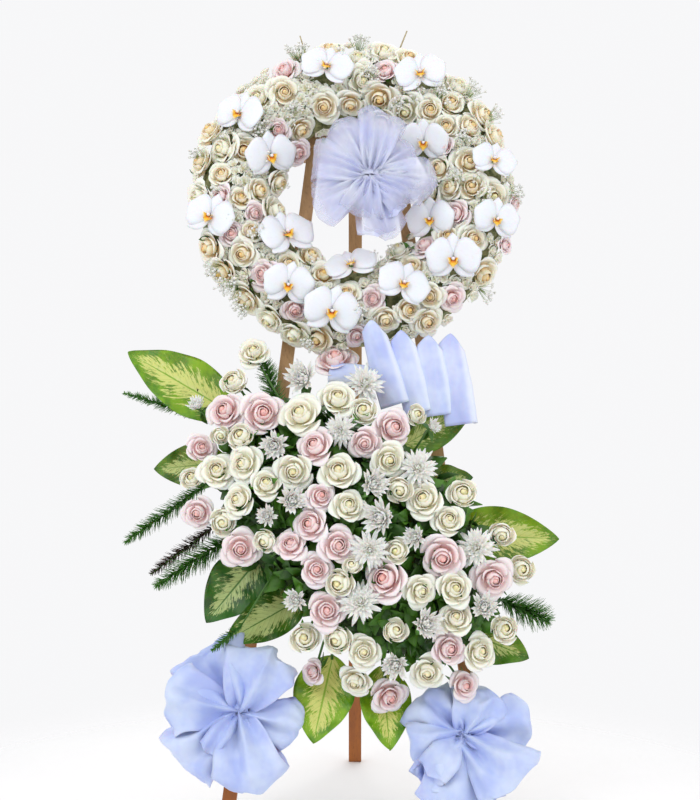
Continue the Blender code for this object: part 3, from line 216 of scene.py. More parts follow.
# Fronds as (root, tip, half width, lift at root, lift at tip, needles for each centimetre)
FRONDS = {
    "frond_left": ((-30.0, 70.0), (-46.2, 58.6), 2.6, 3.0, 8.0, 24),
    "frond_dark": ((-27.0, 62.6), (-41.0, 52.2), 2.2, 2.4, 5.5, 22),
    "frond_left_low": ((-23.0, 61.0), (-40.0, 49.8), 3.6, 4.6, 9.0, 24),
    "frond_hanging": ((-22.6, 42.4), (-28.8, 36.8), 1.5, 10.6, 13.0, 24),
    "frond_right": ((29.0, 47.0), (38.6, 43.0), 4.2, 3.0, 7.5, 34),
    "frond_top_left": ((-28.0, 83.0), (-46.4, 88.4), 1.9, 0.8, 1.4, 22),
    "frond_top": ((-15.0, 84.0), (-18.6, 95.4), 3.2, 3.4, 5.6, 30),
}

# Satin and tulle: each bow's loops as (direction in degrees from across, length, half width)
TULLE_LOOPS = [(34, 0.105, 0.046), (78, 0.145, 0.052), (118, 0.135, 0.050), (166, 0.136, 0.046),
               (212, 0.138, 0.050), (256, 0.100, 0.046), (286, 0.142, 0.042), (322, 0.112, 0.046),
               (352, 0.136, 0.046)]
LEFT_BOW_LOOPS = [(-14, 0.132, 0.050), (62, 0.148, 0.074), (118, 0.154, 0.078),
                  (168, 0.150, 0.064), (222, 0.162, 0.066), (282, 0.160, 0.070)]
RIGHT_BOW_LOOPS = [(8, 0.130, 0.062), (62, 0.105, 0.058), (138, 0.115, 0.062),
                   (206, 0.110, 0.064), (262, 0.150, 0.070), (318, 0.160, 0.068)]
# Loose ends as (direction in degrees, length, half width, lift over the loops)
TULLE_TAILS = ((276, 0.140, 0.040, 0.0), (300, 0.110, 0.030, 0.0))
LEFT_BOW_TAILS = ((262, 0.120, 0.055, 0.0), (206, 0.120, 0.050, 0.0), (232, 0.100, 0.022, 0.042))
RIGHT_BOW_TAILS = ((286, 0.150, 0.050, 0.0), (236, 0.130, 0.050, 0.0), (228, 0.105, 0.036, 0.042))
TULLE_PLACE = (2.8, 131.6)
TULLE_HOOK = (1.6, 142.0)
TULLE_PIN = (1.4, 147.0)
LEFT_BOW_PLACE = (-23.4, 24.6)
RIGHT_BOW_PLACE = (21.0, 20.0)
BOW_FORWARD = 0.048
TULLE_FORWARD = 0.150
PIN_FORWARD = 0.066
WIRE = 0.0012
RIBBON_THICK = 0.0005
# Pleats as (top, foot, half width), places in centimetres
PLEATS = [((3.2, 103.0), (8.2, 86.0), 3.4), ((9.2, 101.0), (13.0, 84.6), 3.4),
          ((14.8, 100.0), (17.2, 84.0), 3.6), ((19.2, 100.4), (21.6, 82.2), 3.8)]
PLEAT_WING = ((5.0, 92.0), (-5.6, 92.6), 2.6)
PLEAT_TOP = 0.118
PLEAT_FOOT = 0.096
PLEAT_STEP = 0.0045
PLEAT_ROLL = 0.009
PLEAT_PIN = ((9.4, 98.0, 0.108), (8.8, 104.4, 0.066))
# Where a pleat starts to roll, and where a painted highlight lightens its right side
ROLL_FROM = 0.55
PAINTED_HIGHLIGHT_FROM = 0.30
PAINTED_HIGHLIGHT_OVER = 0.25

# Each cloth's (fewest and most folds in a loop, depth of a fold, crumpling)
FOLDS = {"tulle_net": ((3.4, 4.6), 0.12, 0.24), "satin_ribbon": ((1.4, 2.2), 0.17, 0.34)}
# How far loops stand forward in radians, and the share that every other loop keeps of it
SATIN_TILT = 0.35
NET_TILT = 0.20
LOW_LOOP = 0.35
TAIL_FORWARD = 0.008
KNOT_RADIUS = 0.021
KNOT_HALF = 0.019
LEFT_BOW_SEED = 4
RIGHT_BOW_SEED = 9
TULLE_SEED = 3

# Three far places in one noise, so that a crease shifts each way on its own
CRUMPLE_FROM = (Vector((9.3, 0, 0)), Vector((0, 17.1, 0)), Vector((0, 0, 23.7)))

# Small flowers in the wreath's gaps
GAP_TRIES = 5000
GAP_BAND = (0.152, 0.345)
GAP_LEAST = 0.002
TUFT_MOST = 0.021
TUFT_OVER = 0.011
TUFT_ROOM = 0.65
TUFT_SUNK = 0.008

# Leaves in the wreath
RING_SEED = 17
RING_LEAVES = 12
LEAF_BAND = (0.150, 0.345)
LEAF_SUNK = 0.024
RING_LEAF_SIZES = (0.018, 0.028)

# How far blooms turn to the eye, and how far chance tips them in radians
RING_TURN = (0.25, 0.3)
SPRAY_BLOOM_TURN = (0.55, 0.45)

# Branches, bed and fronds of the spray
BRANCH_SEED = 29
BLOOM_STEM = (0.0026, 0.0024)
STEM_LEAVES = 3
STEM_LEAF_SIZES = (0.024, 0.036)
BED_ROUGH = 0.008
BED_LEAVES = 900
BED_LEAF_SIZES = (0.030, 0.058)
FROND_SEED = 41
RIB_PARTS = 12
NEEDLE_THICK = 0.020

# Baby's breath: how deep its root lies, how high it stands, its stalk and its florets
BREATH_FORWARD = 0.110
BREATH_SUNK = 0.020
BREATH_HEIGHTS = (0.024, 0.040)
BREATH_STALK = (0.00040, 0.00030)
FLORET_SIZES = (0.0026, 0.0044)
# Loose sprigs as (spread, florets)
LOOSE_SPRIGS = 30
SPRIG_BAND = (0.165, 0.335)
SPRIG = (0.014, 5)
# Where baby's breath shows, as (across, up, spread, florets)
BREATH = [
    (-11.0, 156.0, 3.0, 34), (0.5, 157.8, 2.8, 34), (-13.0, 145.4, 2.2, 22), (-19.4, 141.1, 2.4, 26),
    (-30.0, 136.6, 2.4, 26), (3.0, 151.6, 2.2, 24), (9.3, 146.8, 2.4, 26), (16.4, 148.0, 2.4, 26),
    (22.4, 148.8, 2.6, 28), (26.2, 144.2, 2.4, 24), (21.3, 139.0, 2.2, 22), (25.1, 127.8, 2.2, 20),
    (20.8, 131.6, 2.2, 20), (30.4, 129.2, 2.4, 24), (-20.2, 119.6, 2.4, 22), (-24.0, 111.0, 3.4, 60),
    (-27.0, 114.6, 2.6, 36), (-21.4, 107.4, 2.4, 30), (25.0, 110.6, 2.4, 24), (-9.0, 101.0, 2.2, 20),
]


def lean_point(across, along, forward):
    """A point by its place on the easel's front plane and its distance in front of it."""
    return Vector((across, 0, 0)) + UPWARD * along + FORWARD * forward


def slope(across, up, forward):
    """The point this far in front of the easel's plane that is seen at a front place, in centimetres."""
    seen = Vector((across * CM, 0, up * CM)) - EYE
    reach = (forward - EYE.dot(FORWARD)) / seen.dot(FORWARD)
    return EYE + seen * reach


def lean_place(point):
    """(across, along) of a point on the easel's plane."""
    return point.x, point.dot(UPWARD)


def frame_for(normal, spin):
    """A turn that takes +Z to the normal, with a spin about it."""
    return normal.to_track_quat("Z", "Y").to_matrix().to_4x4() @ Matrix.Rotation(spin, 4, "Z")


def wreath_centre():
    return lean_place(slope(*WREATH_MIDDLE, 0.08))


def ring_point(angle, radius, forward):
    across, along = wreath_centre()
    return lean_point(across + radius * math.cos(angle), along + radius * math.sin(angle), forward)


def ring_normal(angle, distance):
    """The way that the wreath's rounded face looks at a distance from its middle, and its height there."""
    tilt = BAND_TILT * max(-1, min(1, (distance - BAND_RADIUS) / BAND_HALF))
    outward = Vector((math.cos(angle), 0, 0)) + UPWARD * math.sin(angle)
    return outward * math.sin(tilt) + FORWARD * math.cos(tilt), WREATH_LOW + WREATH_RISE * math.cos(tilt)


def spread(spots):
    """Moves crowded spots apart a little at a time; each is [across, up, radius]."""
    for _ in range(SPREAD_ROUNDS):
        for i, one in enumerate(spots):
            for other in spots[i + 1:]:
                away = Vector((other[0] - one[0], other[1] - one[1]))
                short = (one[2] + other[2]) * TOUCH - away.length
                if short > 0:
                    push = away.normalized() * short * SPREAD_PUSH
                    one[0], one[1] = one[0] - push.x, one[1] - push.y
                    other[0], other[1] = other[0] + push.x, other[1] + push.y


def share_of_room(kind):
    """An orchid's face lies over its neighbours, so it takes less room than its radius."""
    return ORCHID_ROOM if kind == "orchid" else 1


def wreath_blooms():
    """Every bloom of the wreath as (kind, radius, place, angle round the ring, spot)."""
    draw = random.Random(WREATH_SEED)
    centre = wreath_centre()
    placed = []

    def settle(kind, across, along, radius, lift):
        away = Vector((across - centre[0], along - centre[1]))
        distance, angle = away.length, math.atan2(away.y, away.x)
        normal, height = ring_normal(angle, distance)
        spin = draw.uniform(-0.3, 0.3) if kind == "orchid" else draw.uniform(0, ANY_TURN)
        if kind == "orchid":
            normal = (normal + FORWARD * ORCHID_FACING).normalized()
        place = Matrix.Translation(lean_point(across, along, height + lift)) @ frame_for(normal, spin)
        placed.append((kind, radius, place, angle, Vector((across, along))))

    spots = []
    for kind, table in (("orchid", ORCHIDS), ("pink", WREATH_PINKS), ("cream", WREATH_CREAMS)):
        for across, up, radius in table:
            lift = ORCHID_LIFT if kind == "orchid" else 0.0
            point = slope(across, up, WREATH_LOW + WREATH_RISE * 0.8 + lift)
            spots.append([*lean_place(point), radius * CM * SWELL * SNUG, kind, lift])
    for radius, count in WREATH_FILL:
        for i in range(count):
            angle = 2 * math.pi * (i + draw.uniform(-0.2, 0.2)) / count
            x, y = centre[0] + radius * math.cos(angle), centre[1] + radius * math.sin(angle)
            size = draw.uniform(*FILL_SIZES)
            room = min(math.hypot(x - spot[0], y - spot[1]) - spot[2] * share_of_room(spot[3])
                       for spot in spots)
            if room > FILL_ROOM * size:
                spots.append([x, y, size, "fill", FILL_LIFT])
    for spot in spots:
        spot[2] *= share_of_room(spot[3])
    spread(spots)
    for x, y, radius, kind, lift in spots:
        settle(kind, x, y, radius / share_of_room(kind), lift)
    return placed


def spray_axes(point):
    """How far a point lies along the spray's long and short axes."""
    across, along = lean_place(point)
    middle = lean_place(slope(*SPRAY_MIDDLE, SPRAY_LOW))
    dx, dy = across - middle[0], along - middle[1]
    cos, sin = math.cos(SPRAY_TURN), math.sin(SPRAY_TURN)
    return dx * cos + dy * sin, dy * cos - dx * sin


def spray_point(p, q, forward):
    middle = lean_place(slope(*SPRAY_MIDDLE, SPRAY_LOW))
    cos, sin = math.cos(SPRAY_TURN), math.sin(SPRAY_TURN)
    return lean_point(middle[0] + p * cos - q * sin, middle[1] + p * sin + q * cos, forward)


def settle_on_spray(across, up, radius, kind, draw):
    """A bloom seen at a front place, set on the egg-shaped surface of the spray and facing out of it."""
    forward = SPRAY_LOW + SPRAY_RISE / 2
    for _ in range(SETTLE_ROUNDS):
        point = slope(across, up, forward)
        p, q = spray_axes(point)
        inside = 1 - (p / SPRAY_LONG) ** 2 - (q / SPRAY_SHORT) ** 2
        forward = SPRAY_LOW + SPRAY_RISE * math.sqrt(max(inside, 0.004))
    cos, sin = math.cos(SPRAY_TURN), math.sin(SPRAY_TURN)
    gp, gq = p / SPRAY_LONG ** 2, q / SPRAY_SHORT ** 2
    normal = (Vector((1, 0, 0)) * (gp * cos - gq * sin) + UPWARD * (gp * sin + gq * cos)
              + FORWARD * ((forward - SPRAY_LOW) / SPRAY_RISE ** 2 + SPRAY_FACING)).normalized()
    scale = SNUG * (EYE - point).length / EYE_AWAY
    place = Matrix.Translation(point) @ frame_for(normal, draw.uniform(0, ANY_TURN))
    return kind, radius * CM * scale, place


def spray_groups():
    """The spray's blooms as groups that each make one branch."""
    draw = random.Random(SPRAY_SEED)
    pink_spots = [[list(row) for row in group] for group in SPRAY_PINKS]
    rose_spots = [list(row) for row in SPRAY_WHITES]
    mum_spots = [list(row) for row in SPRAY_MUMS]
    spread([spot for group in pink_spots for spot in group] + rose_spots + mum_spots)
    pinks = [[settle_on_spray(*spot, "pink", draw) for spot in group] for group in pink_spots]
    whites = [settle_on_spray(*spot, "rose", draw) for spot in rose_spots]
    whites += [settle_on_spray(*spot, "mum", draw) for spot in mum_spots]
    thirds = [[], [], []]
    for bloom in whites:
        p, _ = spray_axes(bloom[2].translation)
        thirds[sum(p >= edge for edge in SPRAY_THIRDS)].append(bloom)
    return pinks, thirds


def below(bloom, share):
    """A point under the bloom's face, by a share of its radius."""
    return bloom[2] @ Vector((0, 0, -share * bloom[1]))


def stem_ends(bloom):
    """A bloom's stem: straight down into the greens, or aslant where the bloom stands out past them."""
    start = below(bloom, 0.8)
    p, q = spray_axes(start)
    out = math.hypot(p / BED_LONG, q / BED_SHORT)
    if out < STEM_REACH:
        return start, below(bloom, 1.4 + 0.030 / bloom[1])
    return start, spray_point(p * STEM_REACH / out, q * STEM_REACH / out, BED_BACK + 0.035)


def bed_point(share_p, share_q, swell=1.0):
    """A point on the bed's domed surface and the way it faces."""
    height = math.sqrt(max(0.0, 1 - share_p ** 2 - share_q ** 2))
    forward = BED_BACK + BED_RISE * height
    point = spray_point(share_p * BED_LONG * swell, share_q * BED_SHORT * swell, forward)
    flat = spray_point(share_p, share_q, 0) - spray_point(0, 0, 0)
    return point, (flat * 1.2 + FORWARD * (height + 0.1)).normalized()


def leaf_frame(shape, t):
    """(point, way along, way across, way up) on a leaf's midrib, which arches forward from its root."""
    root, tip, _, lift_root, lift_tip, roll = shape

    def spine(share):
        across = root[0] + (tip[0] - root[0]) * share
        up = root[1] + (tip[1] - root[1]) * share
        lift = lift_root + (lift_tip - lift_root) * share * share + LEAF_ARCH * math.sin(math.pi * share)
        return slope(across, up, lift * CM)

    along = (spine(min(1.0, t + 0.01)) - spine(max(0.0, t - 0.01))).normalized()
    across = along.cross(FORWARD).normalized()
    up = across.cross(along)
    turn = Matrix.Rotation(math.radians(roll) * t, 3, along)
    return spine(t), along, turn @ across, turn @ up


def leaf_width(t):
    """Share of the half width: broad below the middle, drawn out to a point."""
    return math.sin(math.pi * t ** 0.82) ** 0.8 if 0 < t < 1 else 0.0


def tone(red, green, blue):
    """A colour as the eye reads it, turned to the light that it stands for."""
    shares = (red, green, blue)
    return tuple(((c + 0.055) / 1.055) ** 2.4 if c > 0.04045 else c / 12.92 for c in shares) + (1,)


class Finish:
    """A material whose colour, relief and gloss come from a few nodes."""

    def __init__(self, name, roughness, **fixed):
        self.material = bpy.data.materials.new(name)
        self.material.use_nodes = True
        self.tree = self.material.node_tree
        self.shader = self.tree.nodes["Principled BSDF"]
        self.shader.inputs["Roughness"].default_value = roughness
        for socket, value in fixed.items():
            self.shader.inputs[socket.replace("_", " ")].default_value = value

    def node(self, kind, inputs, **settings):
        made = self.tree.nodes.new(kind)
        for setting, value in settings.items():
            setattr(made, setting, value)
        for socket, value in inputs.items():
            if isinstance(value, bpy.types.NodeSocket):
                self.tree.links.new(value, made.inputs[socket])
            else:
                made.inputs[socket].default_value = value
        return made

    def value(self, name):
        """A number that the mesh carries at each point."""
        return self.node("ShaderNodeAttribute", {}, attribute_name=name).outputs["Fac"]

    def place(self):
        return self.node("ShaderNodeTexCoord", {}).outputs["Object"]

    def sum(self, kind, one, other):
        return self.node("ShaderNodeMath", {0: one, 1: other}, operation=kind).outputs[0]

    def times(self, one, other):
        return self.sum("MULTIPLY", one, other)

    def plus(self, one, other):
        return self.sum("ADD", one, other)

    def vector(self, x, y, z):
        return self.node("ShaderNodeCombineXYZ", {0: x, 1: y, 2: z}).outputs[0]

    def stretched(self, scale):
        """Object coordinates, drawn out by a scale for each axis."""
        return self.node("ShaderNodeMapping", {"Vector": self.place(), "Scale": scale}).outputs[0]

    def grain(self, vector, scale, detail=3.0, rough=0.55):
        inputs = {"Vector": vector, "Scale": scale, "Detail": detail, "Roughness": rough}
        return self.node("ShaderNodeTexNoise", inputs).outputs["Fac"]

    def between(self, share, low, high, first=0.0, last=1.0):
        """The share, fitted from low..high to first..last with soft ends."""
        inputs = {"Value": share, "From Min": low, "From Max": high, "To Min": first, "To Max": last}
        return self.node("ShaderNodeMapRange", inputs, interpolation_type="SMOOTHSTEP").outputs[0]

    def mix(self, share, one, other):
        return self.node("ShaderNodeMix", {0: share, 6: one, 7: other}, data_type="RGBA").outputs[2]

    def dress(self, colour, relief=None, strength=0.3, depth=0.001, roughness=None):
        """Joins what the nodes made to the shader."""
        self.tree.links.new(colour, self.shader.inputs["Base Color"])
        if roughness is not None:
            self.tree.links.new(roughness, self.shader.inputs["Roughness"])
        if relief is not None:
            bump = self.node("ShaderNodeBump", {"Height": relief, "Strength": strength, "Distance": depth})
            self.tree.links.new(bump.outputs[0], self.shader.inputs["Normal"])
        return self.material


def petal_finish(name, heart, body, rim, reach=0.52, veins=0.06):
    """Petal tissue: deeper at the heart, paler at the rim, with fine veins along each petal."""
    made = Finish(name, 0.55, Subsurface_Weight=0.20, Subsurface_Scale=0.004, Sheen_Weight=0.08)
    along, layer, bloom = made.value("along"), made.value("layer"), made.value("bloom")
    depth = made.times(made.sum("POWER", layer, 0.5), made.sum("POWER", along, 0.7))
    colour = made.mix(made.between(depth, 0.05, reach), heart, body)
    colour = made.mix(made.between(depth, 0.60, 1.0), colour, rim)
    lines = made.vector(made.times(made.value("across"), 11.0), made.times(along, 1.2),
                        made.plus(made.times(layer, 9.0), made.times(bloom, 31.0)))
    streak = made.grain(lines, 1.6, 4.0)
    colour = made.mix(made.between(streak, 0.35, 0.75, 0.0, veins), colour, heart)
    colour = made.mix(made.times(bloom, 0.32), colour, body)
    mottle = made.grain(made.place(), 160.0, 2.0)
    colour = made.mix(made.between(mottle, 0.5, 0.8, 0.0, 0.10), colour, tone(0.80, 0.76, 0.62))
    return made.dress(colour, streak, 0.35, 0.0006)


def leaf_finish():
    """A broad leaf: green rim, cream feathers along the side veins, a paler midrib."""
    made = Finish("variegated_leaf", 0.42, Subsurface_Weight=0.06, Subsurface_Scale=0.003, Coat_Weight=0.06,
                  Coat_Roughness=0.35)
    across, along = made.value("across"), made.value("along")
    away = made.node("ShaderNodeMath", {0: across}, operation="ABSOLUTE").outputs[0]
    yellow, cream = made.value("layer"), made.value("bloom")
    vein = made.sum("SUBTRACT", along, made.times(away, VEIN_SLANT))
    feather = made.vector(made.times(vein, 26.0), made.times(across, 3.2),
                          made.times(cream, 37.0))
    blotch = made.grain(feather, 1.25, 7.0, 0.72)
    lean = made.times(made.sum("SUBTRACT", 0.60, away), 0.34)
    ends = made.times(made.between(along, 0.80, 1.0), -0.22)
    share = made.plus(made.plus(blotch, lean), made.plus(ends, made.times(cream, 0.24)))
    share = made.between(share, 0.66, 0.76)
    large = made.grain(made.place(), 26.0, 3.0)
    dark = made.mix(yellow, tone(0.04, 0.26, 0.04), tone(0.30, 0.53, 0.02))
    light = made.mix(yellow, tone(0.13, 0.40, 0.07), tone(0.50, 0.70, 0.03))
    green = made.mix(made.between(large, 0.35, 0.65), dark, light)
    pale = made.mix(yellow, tone(0.70, 0.79, 0.52), tone(0.84, 0.86, 0.48))
    colour = made.mix(share, green, pale)
    ribs = made.sum("PINGPONG", made.times(vein, SIDE_VEINS), 0.5)
    colour = made.mix(made.between(ribs, 0.40, 0.5, 0.0, 0.30), colour, light)
    colour = made.mix(made.between(away, 0.018, 0.045, 0.85, 0.0), colour, light)
    rough = made.between(large, 0.3, 0.7, 0.38, 0.52)
    return made.dress(colour, made.plus(ribs, made.times(blotch, 0.4)), 0.55, 0.0012, rough)


def green_finish(name, dark, light, roughness=0.5):
    """Plain green tissue that varies from leaf to leaf and along each leaf."""
    made = Finish(name, roughness, Subsurface_Weight=0.04, Subsurface_Scale=0.003)
    share = made.plus(made.times(made.value("bloom"), 0.7), made.times(made.value("along"), 0.3))
    spots = made.grain(made.place(), 90.0, 3.0)
    colour = made.mix(share, dark, light)
    colour = made.mix(made.between(spots, 0.45, 0.75, 0.0, 0.35), colour, dark)
    return made.dress(colour, spots, 0.4, 0.0008)


def satin_finish():
    """Pale lavender-blue ribbon with a fine bonded weave, painted highlight and shade in soft patches, and a
    painted highlight on the pleats' rolled sides.
    """
    made = Finish("satin_ribbon", 0.46, Sheen_Weight=0.25, Sheen_Roughness=0.4, Subsurface_Weight=0.10,
                  Subsurface_Scale=0.01)
    # Painted highlight and shade: noise patches run from a shaded to a lit lavender
    shade = made.grain(made.place(), 14.0, 3.0)
    colour = made.mix(made.between(shade, 0.3, 0.7), tone(0.70, 0.755, 0.955), tone(0.83, 0.87, 0.98))
    # Painted highlight: the bloom number lightens the pleats' rolled right sides
    colour = made.mix(made.times(made.value("bloom"), 0.75), colour, tone(0.93, 0.95, 1.0))
    weave = made.grain(made.stretched((900, 900, 260)), 1.0, 1.0)
    rough = made.between(weave, 0.35, 0.65, 0.40, 0.56)
    return made.dress(colour, weave, 0.22, 0.0003, rough)


def tulle_finish():
    """Stiff net: dense where it is gathered at the knot, seen through where it lies single."""
    made = Finish("tulle_net", 0.6, Sheen_Weight=0.3, Sheen_Roughness=0.5, Subsurface_Weight=0.1,
                  Subsurface_Scale=0.01)
    out = made.sum("PINGPONG", made.value("along"), 0.5)
    made.tree.links.new(made.between(out, 0.04, 0.40, 0.75, 0.20), made.shader.inputs["Alpha"])
    shade = made.grain(made.place(), 22.0, 3.0)
    colour = made.mix(made.between(shade, 0.35, 0.7), tone(0.86, 0.875, 1.0), tone(0.93, 0.94, 1.0))
    mesh_size = {"Vector": made.place(), "Scale": 620.0}
    net = made.node("ShaderNodeTexVoronoi", mesh_size, feature="DISTANCE_TO_EDGE")
    return made.dress(colour, net.outputs["Distance"], 0.5, 0.0005)


def wood_finish():
    """Sawn softwood: grain along the batten, redder and darker towards the floor."""
    made = Finish("sawn_wood", 0.62)
    rings = made.grain(made.stretched((46, 46, 3.2)), 1.6, 6.0, 0.62)
    fibre = made.grain(made.stretched((420, 420, 14)), 1.0, 3.0)
    height = made.node("ShaderNodeSeparateXYZ", {0: made.place()}).outputs[2]
    low = made.mix(rings, tone(0.50, 0.26, 0.10), tone(0.74, 0.45, 0.20))
    high = made.mix(rings, tone(0.60, 0.43, 0.27), tone(0.80, 0.65, 0.47))
    colour = made.mix(made.between(height, 0.15, 0.7), low, high)
    colour = made.mix(made.between(fibre, 0.5, 0.8, 0.0, 0.45), colour, tone(0.34, 0.20, 0.10))
    relief = made.plus(rings, fibre)
    return made.dress(colour, relief, 0.5, 0.0012, made.between(rings, 0.3, 0.7, 0.5, 0.75))


def rough_finish(name, dark, light, scale, roughness, strength, **fixed):
    """A plain surface whose colour and relief follow one grain."""
    made = Finish(name, roughness, **fixed)
    spots = made.grain(made.place(), scale, 5.0, 0.65)
    colour = made.mix(made.between(spots, 0.35, 0.68), dark, light)
    rough = made.between(spots, 0.3, 0.7, roughness, roughness + 0.15)
    return made.dress(colour, spots, strength, 0.001, rough)


def floor_finish():
    """Pale ground that fades into the white round it."""
    made = Finish("pale_floor", 0.7)
    away = made.node("ShaderNodeVectorMath", {0: made.place()}, operation="LENGTH").outputs["Value"]
    made.tree.links.new(made.between(away, FLOOR_FADE, FLOOR_EDGE, 1.0, 0.0), made.shader.inputs["Alpha"])
    spots = made.grain(made.place(), 3.0)
    return made.dress(made.mix(spots, tone(0.95, 0.95, 0.95), tone(0.98, 0.98, 0.98)))


def lip_finish():
    """The orchid's lip: yellow at the base, orange-red streaks, paler at its tip."""
    made = Finish("orchid_lip", 0.4, Subsurface_Weight=0.1, Subsurface_Scale=0.003)
    along = made.value("along")
    colour = made.mix(made.between(along, 0.0, 0.55), tone(0.86, 0.40, 0.08), tone(0.97, 0.78, 0.22))
    colour = made.mix(made.between(along, 0.62, 1.0), colour, tone(0.98, 0.93, 0.78))
    streak = made.grain(made.vector(made.times(made.value("across"), 9.0), along, 0.0), 1.8, 3.0)
    colour = made.mix(made.between(streak, 0.55, 0.72, 0.0, 0.6), colour, tone(0.80, 0.30, 0.10))
    return made.dress(colour, streak, 0.3, 0.0005)


FINISHES = [
    petal_finish("white_petal", tone(0.97, 0.91, 0.64), tone(0.985, 0.97, 0.905), tone(0.99, 0.985, 0.955)),
    petal_finish("cream_petal", tone(0.96, 0.77, 0.38), tone(0.98, 0.96, 0.89), tone(0.985, 0.98, 0.95),
                 0.70),
    petal_finish("tuft_petal", tone(0.95, 0.92, 0.68), tone(0.985, 0.975, 0.91), tone(0.99, 0.985, 0.96)),
    petal_finish("pink_petal", tone(0.98, 0.70, 0.66), tone(0.985, 0.91, 0.915), tone(0.99, 0.95, 0.955),
                 0.62, 0.08),
    petal_finish("mum_petal", tone(0.95, 0.95, 0.70), tone(0.99, 0.985, 0.965), tone(0.995, 0.99, 0.98),
                 veins=0.03),
    petal_finish("orchid_petal", tone(0.92, 0.91, 0.92), tone(0.94, 0.94, 0.97), tone(0.955, 0.955, 0.975),
                 veins=0.12),
    lip_finish(),
    leaf_finish(),
    green_finish("small_leaf", tone(0.05, 0.22, 0.05), tone(0.34, 0.56, 0.14), 0.42),
    green_finish("foxtail_needles", tone(0.10, 0.36, 0.08), tone(0.38, 0.62, 0.22)),
    green_finish("dark_plume", tone(0.10, 0.11, 0.06), tone(0.30, 0.21, 0.13)),
    green_finish("stem_green", tone(0.20, 0.40, 0.12), tone(0.50, 0.63, 0.30)),
    green_finish("breath_stalk", tone(0.55, 0.66, 0.42), tone(0.76, 0.82, 0.64), 0.6),
    green_finish("breath_floret", tone(0.90, 0.91, 0.88), tone(0.99, 0.99, 0.98), 0.6),
    satin_finish(),
    tulle_finish(),
    rough_finish("moss_bed", tone(0.06, 0.14, 0.04), tone(0.26, 0.36, 0.14), 70.0, 0.8, 1.0),
    rough_finish("pale_moss", tone(0.34, 0.38, 0.22), tone(0.66, 0.66, 0.48), 70.0, 0.8, 1.0),
]
BY_NAME = {finish.name: index for index, finish in enumerate(FINISHES)}
NUMBERS = ("across", "along", "layer", "bloom")


def joined(first, neighbours):
    """The first few and all that can be reached from them, neighbour by neighbour."""
    found, front = set(first), list(first)
    while front:
        for other in neighbours(front.pop()):
            if other not in found:
                found.add(other)
                front.append(other)
    return found


class Shape:
    """A mesh in the making, with the numbers that its finishes read."""

    def __init__(self):
        self.bm = bmesh.new()
        self.numbers = {name: self.bm.verts.layers.float.new(name) for name in NUMBERS}

    def sheet(self, across_steps, along_steps, laid_out, finish, layer=1.0):
        """A grid whose points go where laid_out(u, v) says, with u from -1 to 1 and v from 0 to 1."""
        grid = bmesh.ops.create_grid(self.bm, x_segments=across_steps, y_segments=along_steps, size=1)
        faces = {face for vert in grid["verts"] for face in vert.link_faces}
        for vert in grid["verts"]:
            u, v = vert.co.x, (vert.co.y + 1) / 2
            vert[self.numbers["across"]], vert[self.numbers["along"]] = u, v
            vert[self.numbers["layer"]] = layer
            vert.co = laid_out(u, v)
        for face in faces:
            face.material_index = BY_NAME[finish]

    def solid(self, made, finish, along=0.5, layer=0.6):
        """Marks what an operator has just made with a finish."""
        for vert in made["verts"]:
            vert[self.numbers["along"]], vert[self.numbers["layer"]] = along, layer
            for face in vert.link_faces:
                face.material_index = BY_NAME[finish]

    def cone(self, sides, radius, end_radius, depth, place, finish):
        made = bmesh.ops.create_cone(self.bm, cap_ends=True, segments=sides, radius1=radius,
                                     radius2=end_radius, depth=depth, matrix=place)
        self.solid(made, finish)
        return made["verts"]

    def rod(self, start, end, radius, end_radius, finish, sides=5):
        way = end - start
        turn = way.to_track_quat("Z", "Y").to_matrix().to_4x4()
        place = Matrix.Translation((start + end) / 2) @ turn
        self.cone(sides, radius, end_radius, way.length, place, finish)

    def calyx(self, low_radius, high_radius, depth, height):
        """The green cup or neck behind a flower's face."""
        self.cone(8, low_radius, high_radius, depth, Matrix.Translation((0, 0, height)), "stem_green")

    def bead(self, radius, place, stretch, finish, along, layer):
        """A small egg, such as the tight middle of a flower."""
        turn = Matrix.Translation(place) @ Matrix.Diagonal((1, 1, stretch, 1))
        made = bmesh.ops.create_uvsphere(self.bm, u_segments=8, v_segments=6, radius=radius, matrix=turn)
        self.solid(made, finish, along, layer)

    def thicken(self, thickness):
        """Gives every open sheet made so far its two faces and an edge."""
        rims = [face for face in self.bm.faces if any(edge.is_boundary for edge in face.edges)]
        sheets = joined(rims, lambda face: [other for edge in face.edges for other in edge.link_faces])
        bmesh.ops.solidify(self.bm, geom=list(sheets), thickness=thickness)

    def mesh(self, name):
        """The shape as a mesh to be copied into bunches."""
        bmesh.ops.recalc_face_normals(self.bm, faces=self.bm.faces)
        made = bpy.data.meshes.new(name)
        self.bm.to_mesh(made)
        self.bm.free()
        return made

    def put(self, mesh, place, bloom):
        """A copy of a ready mesh, set at a place and given a number of its own."""
        copy = mesh.copy()
        copy.transform(place)
        copy.attributes["bloom"].data.foreach_set("value", [bloom] * len(copy.vertices))
        self.bm.from_mesh(copy)
        bpy.data.meshes.remove(copy)

    def piece(self, name, material_slot, *nodes):
        """The finished piece: it rides on the stand and stands for the nodes."""
        used = sorted({face.material_index for face in self.bm.faces})
        for face in self.bm.faces:
            face.material_index = used.index(face.material_index)
            face.smooth = True
        mesh = bpy.data.meshes.new(name)
        self.bm.to_mesh(mesh)
        self.bm.free()
        for index in used:
            mesh.materials.append(FINISHES[index])
        mesh.transform(Matrix.Translation(SHIFT))
        made = bpy.data.objects.new(name, mesh)
        bpy.context.scene.collection.objects.link(made)
        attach(made, "stand")
        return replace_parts(made, *nodes) if nodes else made


def around(turn, out, across, high):
    """A point of a flower, by the turn of its petal and its place on that petal."""
    cos, sin = math.cos(turn), math.sin(turn)
    return Vector((out * cos - across * sin, out * sin + across * cos, high))


